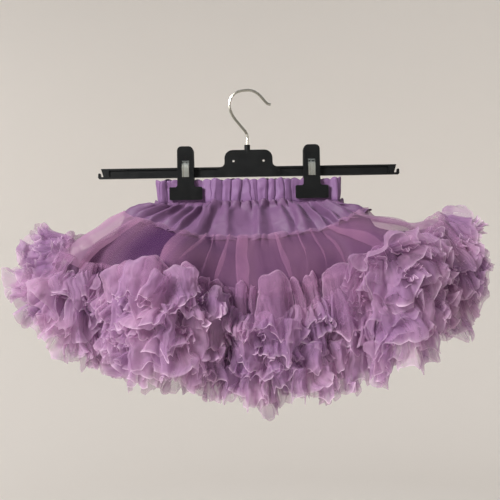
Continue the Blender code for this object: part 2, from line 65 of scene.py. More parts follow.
# Where the cloth lies. A row is one fold's crest or valley: `along` is its place along the
# waistband from the centre front (to the right positive), then the x, y and z of the yoke's
# lower seam, of the top of the ruffled band and of the hem.
Fold = namedtuple("Fold", "name along seam band hem")
FOLDS = table(
    Fold,
    ("back left lobe", -160, (-60, 14, -155), (-88, 26, -214), (-113, 28, -310)),
    ("back left valley", -132, (-99, 10, -146), (-136, 17, -192), (-160, 18, -284)),
    ("back far left", -114, (-124, 8, -136), (-178, 18, -164), (-218, 23, -238)),
    ("far left", -103, (-138, 0, -132), (-190, -2, -158), (-243, -6, -206)),
    ("far left front", -92, (-127, -16, -138), (-185, -44, -177), (-203, -57, -254)),
    ("left valley", -76, (-105, -22, -145), (-150, -35, -187), (-154, -35, -279)),
    ("left front lobe", -52, (-65, -38, -157), (-86, -90, -194), (-89, -108, -290)),
    ("left inner valley", -22, (-29, -32, -161), (-33, -66, -208), (-38, -76, -306)),
    ("front middle", 14, (18, -34, -161), (23, -74, -215), (29, -86, -311)),
    ("right inner valley", 50, (79, -29, -152), (102, -56, -196), (111, -62, -298)),
    ("right front lobe", 70, (99, -34, -145), (137, -84, -168), (152, -104, -274)),
    ("right valley", 86, (117, -19, -137), (176, -46, -162), (199, -52, -258)),
    ("far right front", 96, (126, -10, -133), (196, -34, -150), (230, -44, -232)),
    ("far right", 104, (131, 0, -132), (204, 0, -138), (250, -2, -182)),
    ("back far right", 116, (118, 8, -136), (180, 18, -157), (218, 23, -232)),
    ("back right valley", 134, (98, 10, -146), (138, 17, -188), (161, 18, -282)),
    ("back right lobe", 162, (61, 14, -155), (91, 26, -212), (114, 28, -310)),
    ("back middle", BACK, (0, 12, -160), (0, 22, -220), (0, 24, -326)))

# Levels down the cloth: the waistband's lower edge, then the columns of FOLDS.
WAIST, YOKE_SEAM, BAND_SEAM, HEM = 0.0, 1.0, 2.0, 3.0
LINING_LEVELS = (0.97, 2.55)           # where the lining starts and ends
TIER_LEVELS = (0.985, 2.12)            # and the sheer tier
METRE = 1000.0               # in millimetres


# ---------------------------------------------------------------- the skirt's surfaces
def hermite(before, start, end, after, knots, t):
    """Points between start and end, smooth through four neighbours with uneven knots."""
    k0, k1, k2, k3 = knots
    span = k2 - k1
    leave = (end - before) * (span / (k2 - k0))
    arrive = (after - start) * (span / (k3 - k1))
    return (start * (2 * t ** 3 - 3 * t ** 2 + 1) + leave * (t ** 3 - 2 * t ** 2 + t)
            + end * (-2 * t ** 3 + 3 * t ** 2) + arrive * (t ** 3 - t ** 2))


def from_front(along):
    return (along + BACK) % BAND_LOOP - BACK


def smooth_between(places, values, along):
    """Values at any place along the band, smooth right round, from a row of knots."""
    along = from_front(along)
    count = len(places)
    i = np.searchsorted(places, along, side="right") - 1
    picks = [i + k for k in (-1, 0, 1, 2)]
    knots = [places[p % count] + BAND_LOOP * (p // count) for p in picks]
    t = (along - knots[1]) / (knots[2] - knots[1])
    if values.ndim > 1:
        knots, t = [k[..., None] for k in knots], t[..., None]
    return hermite(*(values[p % count] for p in picks), knots, t)


def table_value(rows, column, along):
    """A column of a table at any places along the band."""
    places, values = (np.array([getattr(row, label) for row in rows], float)
                      for label in ("along", column))
    return smooth_between(places, values, along)


def ease(t):
    return t * t * (3.0 - 2.0 * t)


def smoothstep(value, low, high):
    return ease(np.clip((value - low) / (high - low), 0.0, 1.0))


def fade(value, low, high):
    return 1 - smoothstep(value, low, high)


def steps(count):
    return np.linspace(0.0, 1.0, count + 1)


def pinch(x):
    """0 in the open, 1 between a clip's jaws."""
    off = np.minimum(abs(x - CLIP_AT), abs(x + CLIP_AT))
    return fade(off, PINCH_WIDTH, PINCH_WIDTH + PINCH_EASE)


def band_place(along):
    """Middle of the band's wall, a long flat loop: x and y."""
    along = from_front(along)
    run = abs(along)
    turn = np.clip((run - BAND_STRAIGHT) / BAND_STAND, 0.0, math.pi)
    x = np.where(run < BACK / 2, np.minimum(run, BAND_STRAIGHT),
                 np.minimum(BACK - run, BAND_STRAIGHT)) + BAND_STAND * np.sin(turn)
    squeeze = BAND_PINCHED + (BAND_STAND - BAND_PINCHED) * (1.0 - pinch(x))
    return np.where(along >= 0, x, -x), -np.cos(turn) * squeeze


def cloth_place(along, level):
    """The ungathered cloth below the waistband at places and levels."""
    along, level = np.broadcast_arrays(along, level)
    x, y = band_place(along)
    start = np.stack([x, y, np.full_like(x, BAND_BOTTOM)], -1)
    seam, band, hem = (table_value(FOLDS, column, along) for column in ("seam", "band", "hem"))
    flare = LEAVE_FLARE * (start - seam)
    above = start + np.stack([flare[..., 0], flare[..., 1], np.full_like(x, LEAVE_DROP)], -1)
    below = 2 * hem - band
    rows = np.stack([above, start, seam, band, hem, below, 2 * below - hem])
    i = np.clip(level.astype(int), 0, 3)
    picked = [np.take_along_axis(rows, (i + k)[None, ..., None], 0)[0] for k in range(4)]
    return hermite(*picked, (0.0, 1.0, 2.0, 3.0), (level - i)[..., None])


def turn_over(down, turned):
    """How far a row has rolled over the top and then hung, each 0 to 1.

    `turned` is the share of the rows that roll."""
    return (np.clip(down / turned, 0.0, 1.0),
            np.clip((down - turned) / (1 - turned), 0.0, 1.0))


def unit(vectors):
    return vectors / np.maximum(np.linalg.norm(vectors, axis=-1, keepdims=True), 1e-9)


def cloth_normal(along, level):
    """Unit normals of the cloth, pointing out of the skirt."""
    across = cloth_place(along + NEAR_ALONG, level) - cloth_place(along - NEAR_ALONG, level)
    upper = cloth_place(along, np.maximum(level - NEAR_LEVEL, WAIST))
    return unit(np.cross(cloth_place(along, level + NEAR_LEVEL) - upper, across))


def lifted(along, level, out):
    """Points of the cloth, moved out of the skirt."""
    return moved(cloth_place(along, level), (cloth_normal(along, level), out))


MEASURED = 1200               # steps in which the cloth is measured right round


def even_along(level, share):
    """Places along the waistband that are evenly spaced at a level."""
    fine = np.linspace(-BACK, BACK, MEASURED + 1)
    points = cloth_place(fine, np.full_like(fine, level))
    run = np.concatenate([[0.0], np.cumsum(np.linalg.norm(np.diff(points, axis=0), axis=1))])
    return np.interp(share * run[-1], run, fine), run[-1]


# ---------------------------------------------------------------- unevenness
def drift(share, knots, seed):
    """Smooth random variation right round the skirt, -1 to 1."""
    values = np.random.default_rng(seed).uniform(-1.0, 1.0, knots)
    place = (share % 1.0) * knots
    i = np.floor(place).astype(int)
    t = ease(place - i)
    return values[i % knots] * (1 - t) + values[(i + 1) % knots] * t


def soft_noise(points, size, seed):
    """Smooth random vectors, each part -1 to 1, that change over `size` millimetres."""
    side = 48
    lattice = np.random.default_rng(seed).uniform(-1.0, 1.0, (side, side, side, 3))
    cell = points / size
    low = np.floor(cell).astype(int)
    part = ease(cell - low)
    total = np.zeros_like(points)
    for corner in product((0, 1), repeat=3):
        across, away, up = (part[..., k] if step else 1 - part[..., k]
                            for k, step in enumerate(corner))
        values = lattice[tuple((low[..., k] + step) % side for k, step in enumerate(corner))]
        total += values * (across * away * up)[..., None]
    return total


def moved(points, *ways):
    """Points moved along ways, each a direction and how far."""
    for way, far in ways:
        points = points + way * far[..., None]
    return points


def roughened(points, *layers):
    """Points moved by soft noise, in layers of (how far, over what size, seed)."""
    rough = points
    for far, size, seed in layers:
        rough = rough + far * soft_noise(points, size, seed)
    return rough


def added_waves(moves, lowest):
    """Where small moves lead to, without what changes less than `lowest` times in a round."""
    values = np.cumsum(moves - moves.mean(-1, keepdims=True), -1)
    spectrum = np.fft.rfft(values, axis=-1)
    spectrum[..., :lowest] = 0.0
    return np.fft.irfft(spectrum, values.shape[-1], axis=-1)


def arches(place, valleys, roundness, uneven, seed):
    """Rounded gathers between sharp valleys: 0 in each valley, up to its width between.

    Uneven ones lean to one side and differ in height."""
    i = np.clip(np.searchsorted(valleys, place, side="right") - 1, 0, len(valleys) - 2)
    width = valleys[i + 1] - valleys[i]
    share = np.clip((place - valleys[i]) / width, 0.0, 1.0)
    rng = np.random.default_rng(seed)
    lean = np.exp(uneven * rng.uniform(-1.0, 1.0, len(valleys)))[i]
    tall = 1.0 + 0.5 * uneven * rng.uniform(-1.0, 1.0, len(valleys))[i]
    return np.sin(math.pi * share ** lean) ** roundness * width * tall


# ---------------------------------------------------------------- meshes
def cloth_sheet(name, points, cut, closed=True, thickness=0.0, material=None, **masks):
    """A sheet of cloth: a grid laid on points[down, across], with a UV map of its cut in metres.

    Each mask becomes an attribute of the points that the materials read."""
    rows, columns = points.shape[0] - 1, points.shape[1] - 1
    bm = bmesh.new()
    bm.loops.layers.uv.new("cut")
    bmesh.ops.create_grid(bm, x_segments=columns, y_segments=rows, size=1.0, calc_uvs=True)
    mesh = bpy.data.meshes.new(name)
    bm.to_mesh(mesh)
    bm.free()
    flat = np.empty(len(mesh.vertices) * 3)
    mesh.vertices.foreach_get("co", flat)
    i = np.rint((flat[0::3] + 1) / 2 * columns).astype(int)
    j = np.rint((1 - flat[1::3]) / 2 * rows).astype(int)
    mesh.vertices.foreach_set("co", (points[j, i] / METRE).ravel())
    uv = np.empty(len(mesh.loops) * 2)
    layer = mesh.uv_layers["cut"].uv
    layer.foreach_get("vector", uv)
    uv[0::2] *= cut[0]
    uv[1::2] = (1 - uv[1::2]) * cut[1]
    layer.foreach_set("vector", uv)
    for mask, values in masks.items():
        attribute = mesh.attributes.new(mask, "FLOAT", "POINT")
        attribute.data.foreach_set("value", values[j, i].astype(np.float32))
    if closed:
        bm = bmesh.new()
        bm.from_mesh(mesh)
        bmesh.ops.remove_doubles(bm, verts=[v for v in bm.verts if len(v.link_faces) < 3],
                                 dist=1e-6)
        bm.to_mesh(mesh)
        bm.free()
    mesh.shade_smooth()
    piece = bpy.data.objects.new(name, mesh)
    bpy.context.scene.collection.objects.link(piece)
    if material:
        mesh.materials.append(material)
    if thickness:
        wall = piece.modifiers.new("wall", "SOLIDIFY")
        wall.thickness = thickness / METRE
        wall.offset = 0.0
    return piece


# ---------------------------------------------------------------- materials
def add_node(tree, kind, inputs=(), **settings):
    """A node of that kind, with its settings and the values or links of its inputs."""
    node = tree.nodes.new(kind)
    for key, value in settings.items():
        setattr(node, key, value)
    for socket, value in dict(inputs).items():
        if isinstance(value, bpy.types.NodeSocket):
            tree.links.new(value, node.inputs[socket])
        else:
            node.inputs[socket].default_value = value
    return node


def new_material(name):
    material = bpy.data.materials.new(name)
    material.use_nodes = True
    tree = material.node_tree
    tree.nodes.clear()
    return material, tree


def colour(red, green, blue):
    """An sRGB colour of 0 to 255 as the linear one that a socket takes."""
    parts = [c / 255.0 for c in (red, green, blue)]
    return (*(p / 12.92 if p <= 0.04045 else ((p + 0.055) / 1.055) ** 2.4 for p in parts), 1.0)


def colour_mix(tree, factor, first, second):
    """A colour between two, each a colour or a socket."""
    mix = add_node(tree, "ShaderNodeMix", data_type="RGBA")
    factor_in = mix.inputs["Factor"]
    first_in, second_in = [s for s in mix.inputs if s.type == "RGBA"]
    for socket, value in ((factor_in, factor), (first_in, first), (second_in, second)):
        if isinstance(value, bpy.types.NodeSocket):
            tree.links.new(value, socket)
        else:
            socket.default_value = value
    return next(s for s in mix.outputs if s.type == "RGBA")


def math_node(tree, operation, *values):
    return add_node(tree, "ShaderNodeMath", dict(enumerate(values)), operation=operation).outputs[0]


def noise(tree, vector, scale, detail, distortion=0.0):
    return add_node(tree, "ShaderNodeTexNoise", {
        "Vector": vector, "Scale": scale, "Detail": detail,
        "Distortion": distortion}).outputs["Fac"]


def remap(tree, value, low, high, to_low=0.0, to_high=1.0):
    """Values from low to high, spread over to_low to to_high and held there outside."""
    return add_node(tree, "ShaderNodeMapRange", {
        "Value": value, "From Min": low, "From Max": high,
        "To Min": to_low, "To Max": to_high}).outputs["Result"]


def bump(tree, height, strength, distance):
    return add_node(tree, "ShaderNodeBump", {
        "Height": height, "Strength": strength, "Distance": distance}).outputs["Normal"]


def mask_value(tree, name):
    return add_node(tree, "ShaderNodeAttribute", attribute_name=name).outputs["Fac"]


def coordinates(tree):
    """The object's coordinates, and the place on the cut."""
    return (add_node(tree, "ShaderNodeTexCoord").outputs["Object"],
            add_node(tree, "ShaderNodeUVMap", uv_map="cut").outputs["UV"])


def show(tree, shader):
    add_node(tree, "ShaderNodeOutputMaterial", {"Surface": shader.outputs[0]})


def node_group(name, inputs, outputs):
    """An empty group of nodes with its inputs and outputs: (name, kind, default)."""
    tree = bpy.data.node_groups.new(name, "ShaderNodeTree")
    for way, sockets in (("INPUT", inputs), ("OUTPUT", outputs)):
        for label, kind, default in sockets:
            socket = tree.interface.new_socket(label, in_out=way, socket_type=kind)
            if default is not None:
                socket.default_value = default
    entry = tree.nodes.new("NodeGroupInput")
    return tree, entry.outputs


def make_weave():
    """Threads that cross, as a height."""
    tree, given = node_group("weave", (
        ("Vector", "NodeSocketVector", None), ("Threads", "NodeSocketFloat", 1000.0)),
        (("Height", "NodeSocketFloat", None),))
    waves = [add_node(tree, "ShaderNodeTexWave", {
        "Vector": given["Vector"], "Scale": given["Threads"], "Distortion": 0.6},
        bands_direction=way) for way in ("X", "Y")]
    both = math_node(tree, "MULTIPLY", *(wave.outputs["Fac"] for wave in waves))
    add_node(tree, "NodeGroupOutput", {"Height": both})
    return tree


def make_crinkle():
    """Fine crinkles that run down the cut: a height, and a mask of slow change."""
    tree, given = node_group("crinkle", (
        ("Cut", "NodeSocketVector", None), ("Place", "NodeSocketVector", None),
        ("Scale", "NodeSocketFloat", 230.0)),
        (("Height", "NodeSocketFloat", None), ("Mottle", "NodeSocketFloat", None)))
    stretched = add_node(tree, "ShaderNodeMapping", {
        "Vector": given["Cut"], "Scale": (1.0, 0.12, 1.0)}).outputs["Vector"]
    fine = noise(tree, stretched, given["Scale"], detail=2.0, distortion=0.4)
    broad = noise(tree, given["Place"], scale=26.0, detail=2.0)
    add_node(tree, "NodeGroupOutput", {
        "Height": fine, "Mottle": remap(tree, broad, 0.35, 0.65)})
    return tree


def make_net():
    """Soft net: how much its threads cover."""
    tree, given = node_group("net", (
        ("Vector", "NodeSocketVector", None), ("Meshes", "NodeSocketFloat", 900.0)),
        (("Cover", "NodeSocketFloat", None),))
    cells = add_node(tree, "ShaderNodeTexVoronoi", {
        "Vector": given["Vector"], "Scale": given["Meshes"]}, feature="DISTANCE_TO_EDGE")
    cover = remap(tree, cells.outputs["Distance"], 0.0, 0.5, 0.015, -0.015)
    add_node(tree, "NodeGroupOutput", {"Cover": cover})
    return tree


WEAVE, CRINKLE, NET = make_weave(), make_crinkle(), make_net()


def use_group(tree, group, inputs):
    return add_node(tree, "ShaderNodeGroup", inputs, node_tree=group).outputs


def tulle_material(name, base, shade, edge, opacity, spread, through, streaks):
    """Sheer soft net: crinkles run down the cut, and light comes through.

    It covers `opacity` of what lies behind, give or take `spread`, and fully at its edges. There it
    takes the pale `edge` colour: partly the net's doubled edges, partly a painted highlight where a
    sheet turns edge-on."""
    material, tree = new_material(name)
    place, cut = coordinates(tree)
    crinkle = use_group(tree, CRINKLE, {"Cut": cut, "Place": place})
    net = use_group(tree, NET, {"Vector": cut})
    # the edge attribute: pale doubled edges of the net, and painted highlights along folds, flap
    # sides and the tier's sides
    edge_and_highlight = mask_value(tree, "edge")
    tint = colour_mix(tree, edge_and_highlight, colour_mix(tree, crinkle["Mottle"], shade, base), edge)
    relief = bump(tree, crinkle["Height"], streaks, 0.0022)
    cloth = add_node(tree, "ShaderNodeBsdfPrincipled", {
        "Base Color": tint, "Roughness": 0.75, "Normal": relief,
        "Sheen Weight": 0.22, "Sheen Roughness": 0.45, "Specular IOR Level": 0.12,
        "Sheen Tint": (0.93, 0.84, 0.97, 1.0)})
    glow = add_node(tree, "ShaderNodeBsdfTranslucent", {"Color": tint, "Normal": relief})
    lit = add_node(tree, "ShaderNodeMixShader", {
        0: through, 1: cloth.outputs[0], 2: glow.outputs[0]})
    clear = add_node(tree, "ShaderNodeBsdfTransparent")
    gathered = remap(tree, crinkle["Height"], 0.3, 0.7, opacity - spread, opacity + spread)
    density = math_node(tree, "ADD", net["Cover"], gathered)
    # a panel made sheerer so the dark lining shows: painted shade for the valley beside the left
    # front fold
    density = math_node(tree, "SUBTRACT", density, mask_value(tree, "thin"))
    show(tree, add_node(tree, "ShaderNodeMixShader", {
        0: math_node(tree, "MAXIMUM", density, edge_and_highlight), 1: clear.outputs[0], 2: lit.outputs[0]}))
    return material


def satin_material(name, base, deep, sheen, relief=0.22, shine=0.34):
    """Satin jersey: fine threads, a soft sheen and slow unevenness of tone."""
    material, tree = new_material(name)
    place, cut = coordinates(tree)
    weave = use_group(tree, WEAVE, {"Vector": cut, "Threads": 900.0})
    crinkle = use_group(tree, CRINKLE, {"Cut": cut, "Place": place, "Scale": 420.0})
    tone = noise(tree, place, scale=60.0, detail=3.0)
    height = math_node(tree, "MULTIPLY_ADD", weave["Height"], 0.25, crinkle["Height"])
    show(tree, add_node(tree, "ShaderNodeBsdfPrincipled", {
        "Base Color": colour_mix(tree, tone, deep, base),
        "Roughness": remap(tree, tone, 0.0, 1.0, 0.42, 0.62),
        "Sheen Weight": sheen, "Sheen Roughness": 0.5, "Sheen Tint": (0.9, 0.8, 0.98, 1.0),
        "Specular IOR Level": shine, "Normal": bump(tree, height, relief, 0.0012)}))
    return material


def plain_material(name, base, roughness):
    material, tree = new_material(name)
    show(tree, add_node(tree, "ShaderNodeBsdfPrincipled", {
        "Base Color": base, "Roughness": roughness}))
    return material


def plastic_material():
    """Black moulded plastic: spark-eroded grain, and rubbed a little paler along its edges."""
    material, tree = new_material("black_plastic")
    place = add_node(tree, "ShaderNodeTexCoord").outputs["Object"]
    grain = noise(tree, place, scale=900.0, detail=2.0)
    rubbed = noise(tree, place, scale=70.0, detail=4.0)
    corner = add_node(tree, "ShaderNodeBevel", {"Radius": 0.0005}, samples=4)
    turn = add_node(tree, "ShaderNodeVectorMath", {
        0: corner.outputs["Normal"],
        1: add_node(tree, "ShaderNodeNewGeometry").outputs["Normal"]}, operation="DOT_PRODUCT")
    worn = remap(tree, turn.outputs["Value"], 0.97, 0.86)
    show(tree, add_node(tree, "ShaderNodeBsdfPrincipled", {
        "Base Color": colour_mix(tree, worn, colour(7, 9, 10), colour(26, 28, 30)),
        "Roughness": remap(tree, rubbed, 0.3, 0.7, 0.38, 0.56),
        "Specular IOR Level": 0.22, "Normal": bump(tree, grain, 0.25, 0.0003)}))
    return material


def metal_material(name, base, low, high, scale, stretch):
    """Bright metal whose roughness changes from low to high along fine lines."""
    material, tree = new_material(name)
    place = add_node(tree, "ShaderNodeTexCoord").outputs["Object"]
    along = add_node(tree, "ShaderNodeMapping", {"Vector": place, "Scale": stretch})
    lines = noise(tree, along.outputs["Vector"], scale, detail=3.0)
    show(tree, add_node(tree, "ShaderNodeBsdfPrincipled", {
        "Base Color": base, "Metallic": 1.0, "Roughness": remap(tree, lines, 0.3, 0.7, low, high),
        "Normal": bump(tree, lines, 0.1, 0.0002)}))
    return material


# the edge colours: pale doubled edges of the net, and painted highlights where sheets turn edge-on
TULLE = tulle_material(
    "sheer_tulle", base=colour(176, 127, 162), shade=colour(158, 112, 150),
    edge=colour(214, 172, 202), opacity=0.41, spread=0.03, through=0.38, streaks=0.07)
FLAP_TULLE = tulle_material(
    "flap_tulle", base=colour(196, 150, 186), shade=colour(176, 131, 172),
    edge=colour(232, 198, 224), opacity=0.40, spread=0.05, through=0.42, streaks=0.12)
RUFFLE_TULLE = tulle_material(
    "ruffle_tulle", base=colour(209, 171, 202), shade=colour(184, 145, 186),
    edge=colour(240, 212, 234), opacity=0.47, spread=0.12, through=0.46, streaks=0.4)
SATIN = satin_material("lilac_satin", colour(124, 88, 130), colour(112, 80, 120), sheen=0.15)
YOKE_SATIN = satin_material("yoke_satin", colour(108, 74, 108), colour(94, 64, 98), sheen=0.12)
LINING = satin_material("violet_lining", colour(58, 26, 68), colour(46, 20, 56),
                        sheen=0.0, relief=0.05, shine=0.1)
PLASTIC = plastic_material()
CHROME = metal_material("hook_chrome", colour(172, 170, 160), low=0.18, high=0.3, scale=300.0,
                        stretch=(1, 1, 1))
STEEL = metal_material("spring_steel", colour(190, 195, 190), low=0.22, high=0.42, scale=500.0,
                       stretch=(1, 1, 0.03))


# ---------------------------------------------------------------- waistband and yoke
def uneven_places(count, low, high, seed):
    """Places from low to high, unevenly spaced."""
    gaps = np.random.default_rng(seed).uniform(0.6, 1.4, count)
    return low + np.concatenate([[0.0], np.cumsum(gaps)]) / gaps.sum() * (high - low)


# Sharp valleys between the waistband's gathers, across the front; the back ones are drawn.
FRONT_VALLEYS = (-97, -90, -85, -76, -68, -60, -51, -41, -29, -19, -8, 1.7, 9.4, 21, 29, 38.6,
                 46.8, 55.6, 63, 71, 80, 89, 99)
BAND_VALLEYS = np.concatenate([uneven_places(11, -BACK, -97, 5)[:-1], FRONT_VALLEYS,
                               uneven_places(11, 99, BACK, 6)[1:]])
HALF_VALLEYS = uneven_places(58, -BACK, BACK, 35)          # shallow ones, drawn all round
TIER_VALLEYS = uneven_places(64, -BACK, BACK, 8)           # those of the sheer tier's gathers

# Soft folds that run down the cloth: place along the band at the top and at the bottom, half
# width at both, and height. Those of the hidden sides are drawn in the same sizes.
Crease = namedtuple("Crease", "top low wide_top wide_low height")
YOKE_CREASES = table(
    Crease,
    (-96, -101, 3.5, 5.0, 4.0), (-84, -92, 3.0, 4.5, 5.0), (-72, -82, 2.6, 4.5, 5.5),
    (-61, -71, 2.6, 4.5, 5.0), (-51, -61, 2.4, 3.6, 4.5), (-41, -48, 4.2, 5.5, 5.5),
    (-21, -20, 5.0, 8.5, 4.0), (9, 9, 4.6, 6.0, 4.2), (31, 29, 3.8, 5.0, 4.0),
    (45, 39, 5.0, 6.0, 5.0), (56, 53, 2.8, 4.6, 6.0), (67, 67, 2.6, 4.0, 5.0),
    (78, 81, 3.0, 5.0, 5.0), (93, 96, 4.0, 7.0, 4.8))
TIER_CREASES = table(
    Crease,
    (-99, -101, 2.6, 4.0, 3.6), (-91, -93, 1.8, 3.0, 3.0), (-83, -85, 3.0, 4.6, 5.0),
    (-53, -54.5, 2.8, 2.7, 5.0), (-38.5, -48, 2.4, 3.4, 3.4), (-29, -36, 1.6, 2.5, 2.6),
    (-16, -26, 2.2, 3.6, 3.6), (-4.5, -4.5, 5.2, 4.6, 5.0), (7, 4, 1.2, 1.8, 1.8),
    (20.5, 23.5, 2.2, 3.3, 3.6), (32, 31, 1.8, 2.6, 2.8), (39.5, 39, 1.7, 2.6, 3.4),
    (46, 48.5, 1.8, 3.0, 3.6), (56, 67, 2.6, 5.0, 5.0), (67, 78, 2.0, 3.4, 3.0),
    (82, 86, 2.8, 4.4, 3.2))


def round_the_back(creases, count, seed):
    """The front's creases, and others drawn round the back, near their median sizes."""
    rng = np.random.default_rng(seed)
    tops = uneven_places(count, 112, 303, seed)[:-1]
    sizes = np.median([crease[2:] for crease in creases], 0)
    return creases + tuple(
        Crease(top, top + rng.uniform(-3, 3), *(sizes * rng.uniform(0.7, 1.3, 3)))
        for top in tops)


YOKE_CREASES = round_the_back(YOKE_CREASES, 17, 11)
TIER_CREASES = round_the_back(TIER_CREASES, 22, 12)


def creased(creases, along, down):
    """Height of the creases at places along the band and down it, from 0 to 1.

    Each is steeper on one side."""
    height = np.zeros_like(along + down)
    for k, crease in enumerate(creases):
        place = crease.top + (crease.low - crease.top) * down
        wide = crease.wide_top + (crease.wide_low - crease.wide_top) * down
        off = from_front(along - place) / wide
        off = off * np.where(off * (-1) ** k > 0, 1.35, 0.8)
        height = np.maximum(height, crease.height * np.exp(-off * off))
    return height


CASING_EDGE = 2.2             # how far the gathered edge lies under the band's top


def band_frame(along, height):
    """The waistband's plain wall and its outward direction."""
    x, y = band_place(along)
    ahead, after = band_place(along - 1.0), band_place(along + 1.0)
    tangent = unit(np.stack([after[0] - ahead[0], after[1] - ahead[1], 0 * x], -1))
    out = np.stack([tangent[..., 1], -tangent[..., 0], 0 * x], -1)
    return np.stack([x, y, height + 0 * x], -1), out, pinch(x)


def build_waistband():
    """Elastic casing: rounded gathers between sharp valleys, drawn in at both edges."""
    columns, rows = 900, 14
    along = np.linspace(-BACK, BACK, columns + 1)[None, :]
    down = steps(rows)[:, None]
    share = along / BAND_LOOP
    scallop = 0.20 * (arches(along, BAND_VALLEYS, 1.0, 0.5, 31) - 5) * fade(down, 0, 0.25)
    top = BAND_TOP - CASING_EDGE
    height = top + (BAND_BOTTOM - top) * down + scallop
    points, out, held = band_frame(along + 0 * down, height)
    slant = 2.6 * drift(share, 44, 3) * (down - 0.3) + 1.6 * drift(share, 90, 33) * down ** 2
    gather = arches(along + slant, BAND_VALLEYS, 0.42, 0.6, 32) * 0.29
    half_way = arches(along + 2 * slant, HALF_VALLEYS, 1.0, 0.6, 34) * 0.14
    gather = gather - half_way * (0.4 + 0.6 * down)
    wave = (gather - 1.0) * (0.72 + 0.28 * np.sin(math.pi * down ** 0.8))
    wave = wave * (1.0 - 0.85 * held) - 0.9 * smoothstep(down, 0.86, 1.0)
    points = points + out * wave[..., None] + 0.8 * soft_noise(points, 7.0, 9)
    return cloth_sheet("waistband_gathers", points, (0.75, 0.027), thickness=0.8, material=SATIN)


def laid_over(places, along, down, wide, height):
    """A fold with a sharp left edge that runs between two places, and fades to its right."""
    off = from_front(along - (places[0] + (places[1] - places[0]) * down)) / wide
    return height * smoothstep(off, -0.35, 0.0) * np.exp(-np.maximum(off, 0.0) ** 2)


def build_yoke():
    """Hip piece: fine gathers under the band that run out into broad soft folds."""
    columns, rows = 1100, 36
    along = (steps(columns) * 2 - 1) * BACK
    level = np.linspace(WAIST - 0.09, YOKE_SEAM + 0.04, rows + 1)
    along, level = np.broadcast_arrays(along[None, :], level[:, None])
    share = along / BAND_LOOP
    held = pinch(band_place(along)[0]) * fade(level, 0, 0.25)
    slant = 1.6 * drift(share, 44, 3) * (0.7 + level)
    fine = arches(along + slant, BAND_VALLEYS, 0.7, 0.5, 32) * 0.54 - 1.3
    fine = fine * fade(level, 0.0, 0.32 + 0.16 * drift(share, 40, 39))
    broad = 1.55 * creased(YOKE_CREASES, along + 1.5 * drift(share, 36, 36) * level, level)
    broad = broad * (0.35 + 0.65 * smoothstep(level, 0.0, 0.35))
    broad = broad * (1 + 0.3 * drift(share + 0.02 * level, 30, 37))
    sides = smoothstep(abs(along), 42, 58) * fade(abs(along), 72, 84)
    broad = broad * (1 + 0.25 * sides)
    broad = broad * (1 - 0.45 * smoothstep(level, 0.75, 1.0)) - 1.8
    # two folds that are laid over the others, and a seam that shows across the front
    edge = laid_over((-43.0, -56.0), along, level, 9.0, 4.5) * smoothstep(level, 0.03, 0.3)
    edge = edge + laid_over((46.0, 33.0), along, level, 6.0, 1.6) * smoothstep(level, 0.1, 0.4)
    seam_line = 0.4 * np.exp(-((level - 0.66) / 0.016) ** 2) * (abs(along) < 47)
    wave = fine + np.minimum(broad + edge, 8.0) * smoothstep(level, -0.02, 0.16)
    wave = wave * (1 - 0.8 * held) + seam_line
    points = lifted(along, level, wave)
    points = roughened(points, (1.3, 17.0, 13), (0.5, 7.0, 14))
    return cloth_sheet("yoke_cloth", points, (0.9, 0.05), material=YOKE_SATIN)


# The tier sinks in between its seams at its two ends: place along the band, half width, depth.
SAGS = ((103, 15, 21.0), (-103, 13, 8.0))


def end_sag(along, down):
    """How far the tier sinks in at places along the band and down it, from 0 to 1."""
    deep = sum(depth * np.exp(-((from_front(along) - place) / wide) ** 2)
               for place, wide, depth in SAGS)
    return deep * np.sin(math.pi * np.clip(down, 0, 1)) ** 0.7


def build_lining():
    """Plain under-skirt, soft folds only, that hangs clear inside the sheer tier and sinks in
    with it."""
    columns, rows = 400, 20
    share = steps(columns)
    along, _ = even_along(2.5, share)
    level = np.linspace(*LINING_LEVELS, rows + 1)
    along, level = np.broadcast_arrays(along[None, :], level[:, None])
    deep = 4.0 + 7.0 * smoothstep(abs(from_front(along)), 84, 100)
    out = -1.5 - deep * smoothstep(level, 0.96, 1.6)
    tier_top, tier_end = TIER_LEVELS
    out = out - 1.15 * end_sag(along, (level - tier_top) / (tier_end - tier_top))
    points = lifted(along, level, out)
    points = roughened(points, (2.0, 30.0, 15))
    return cloth_sheet("lining_cloth", points, (1.3, 0.11), thickness=0.5, material=LINING)


PLEAT_TOP, PLEAT_LOW = 1.1, 1.9        # the pleats' half widths, as shares of the creases'
PEAK = math.sqrt(2 * math.e)           # makes the top of x * exp(-x * x) equal 1


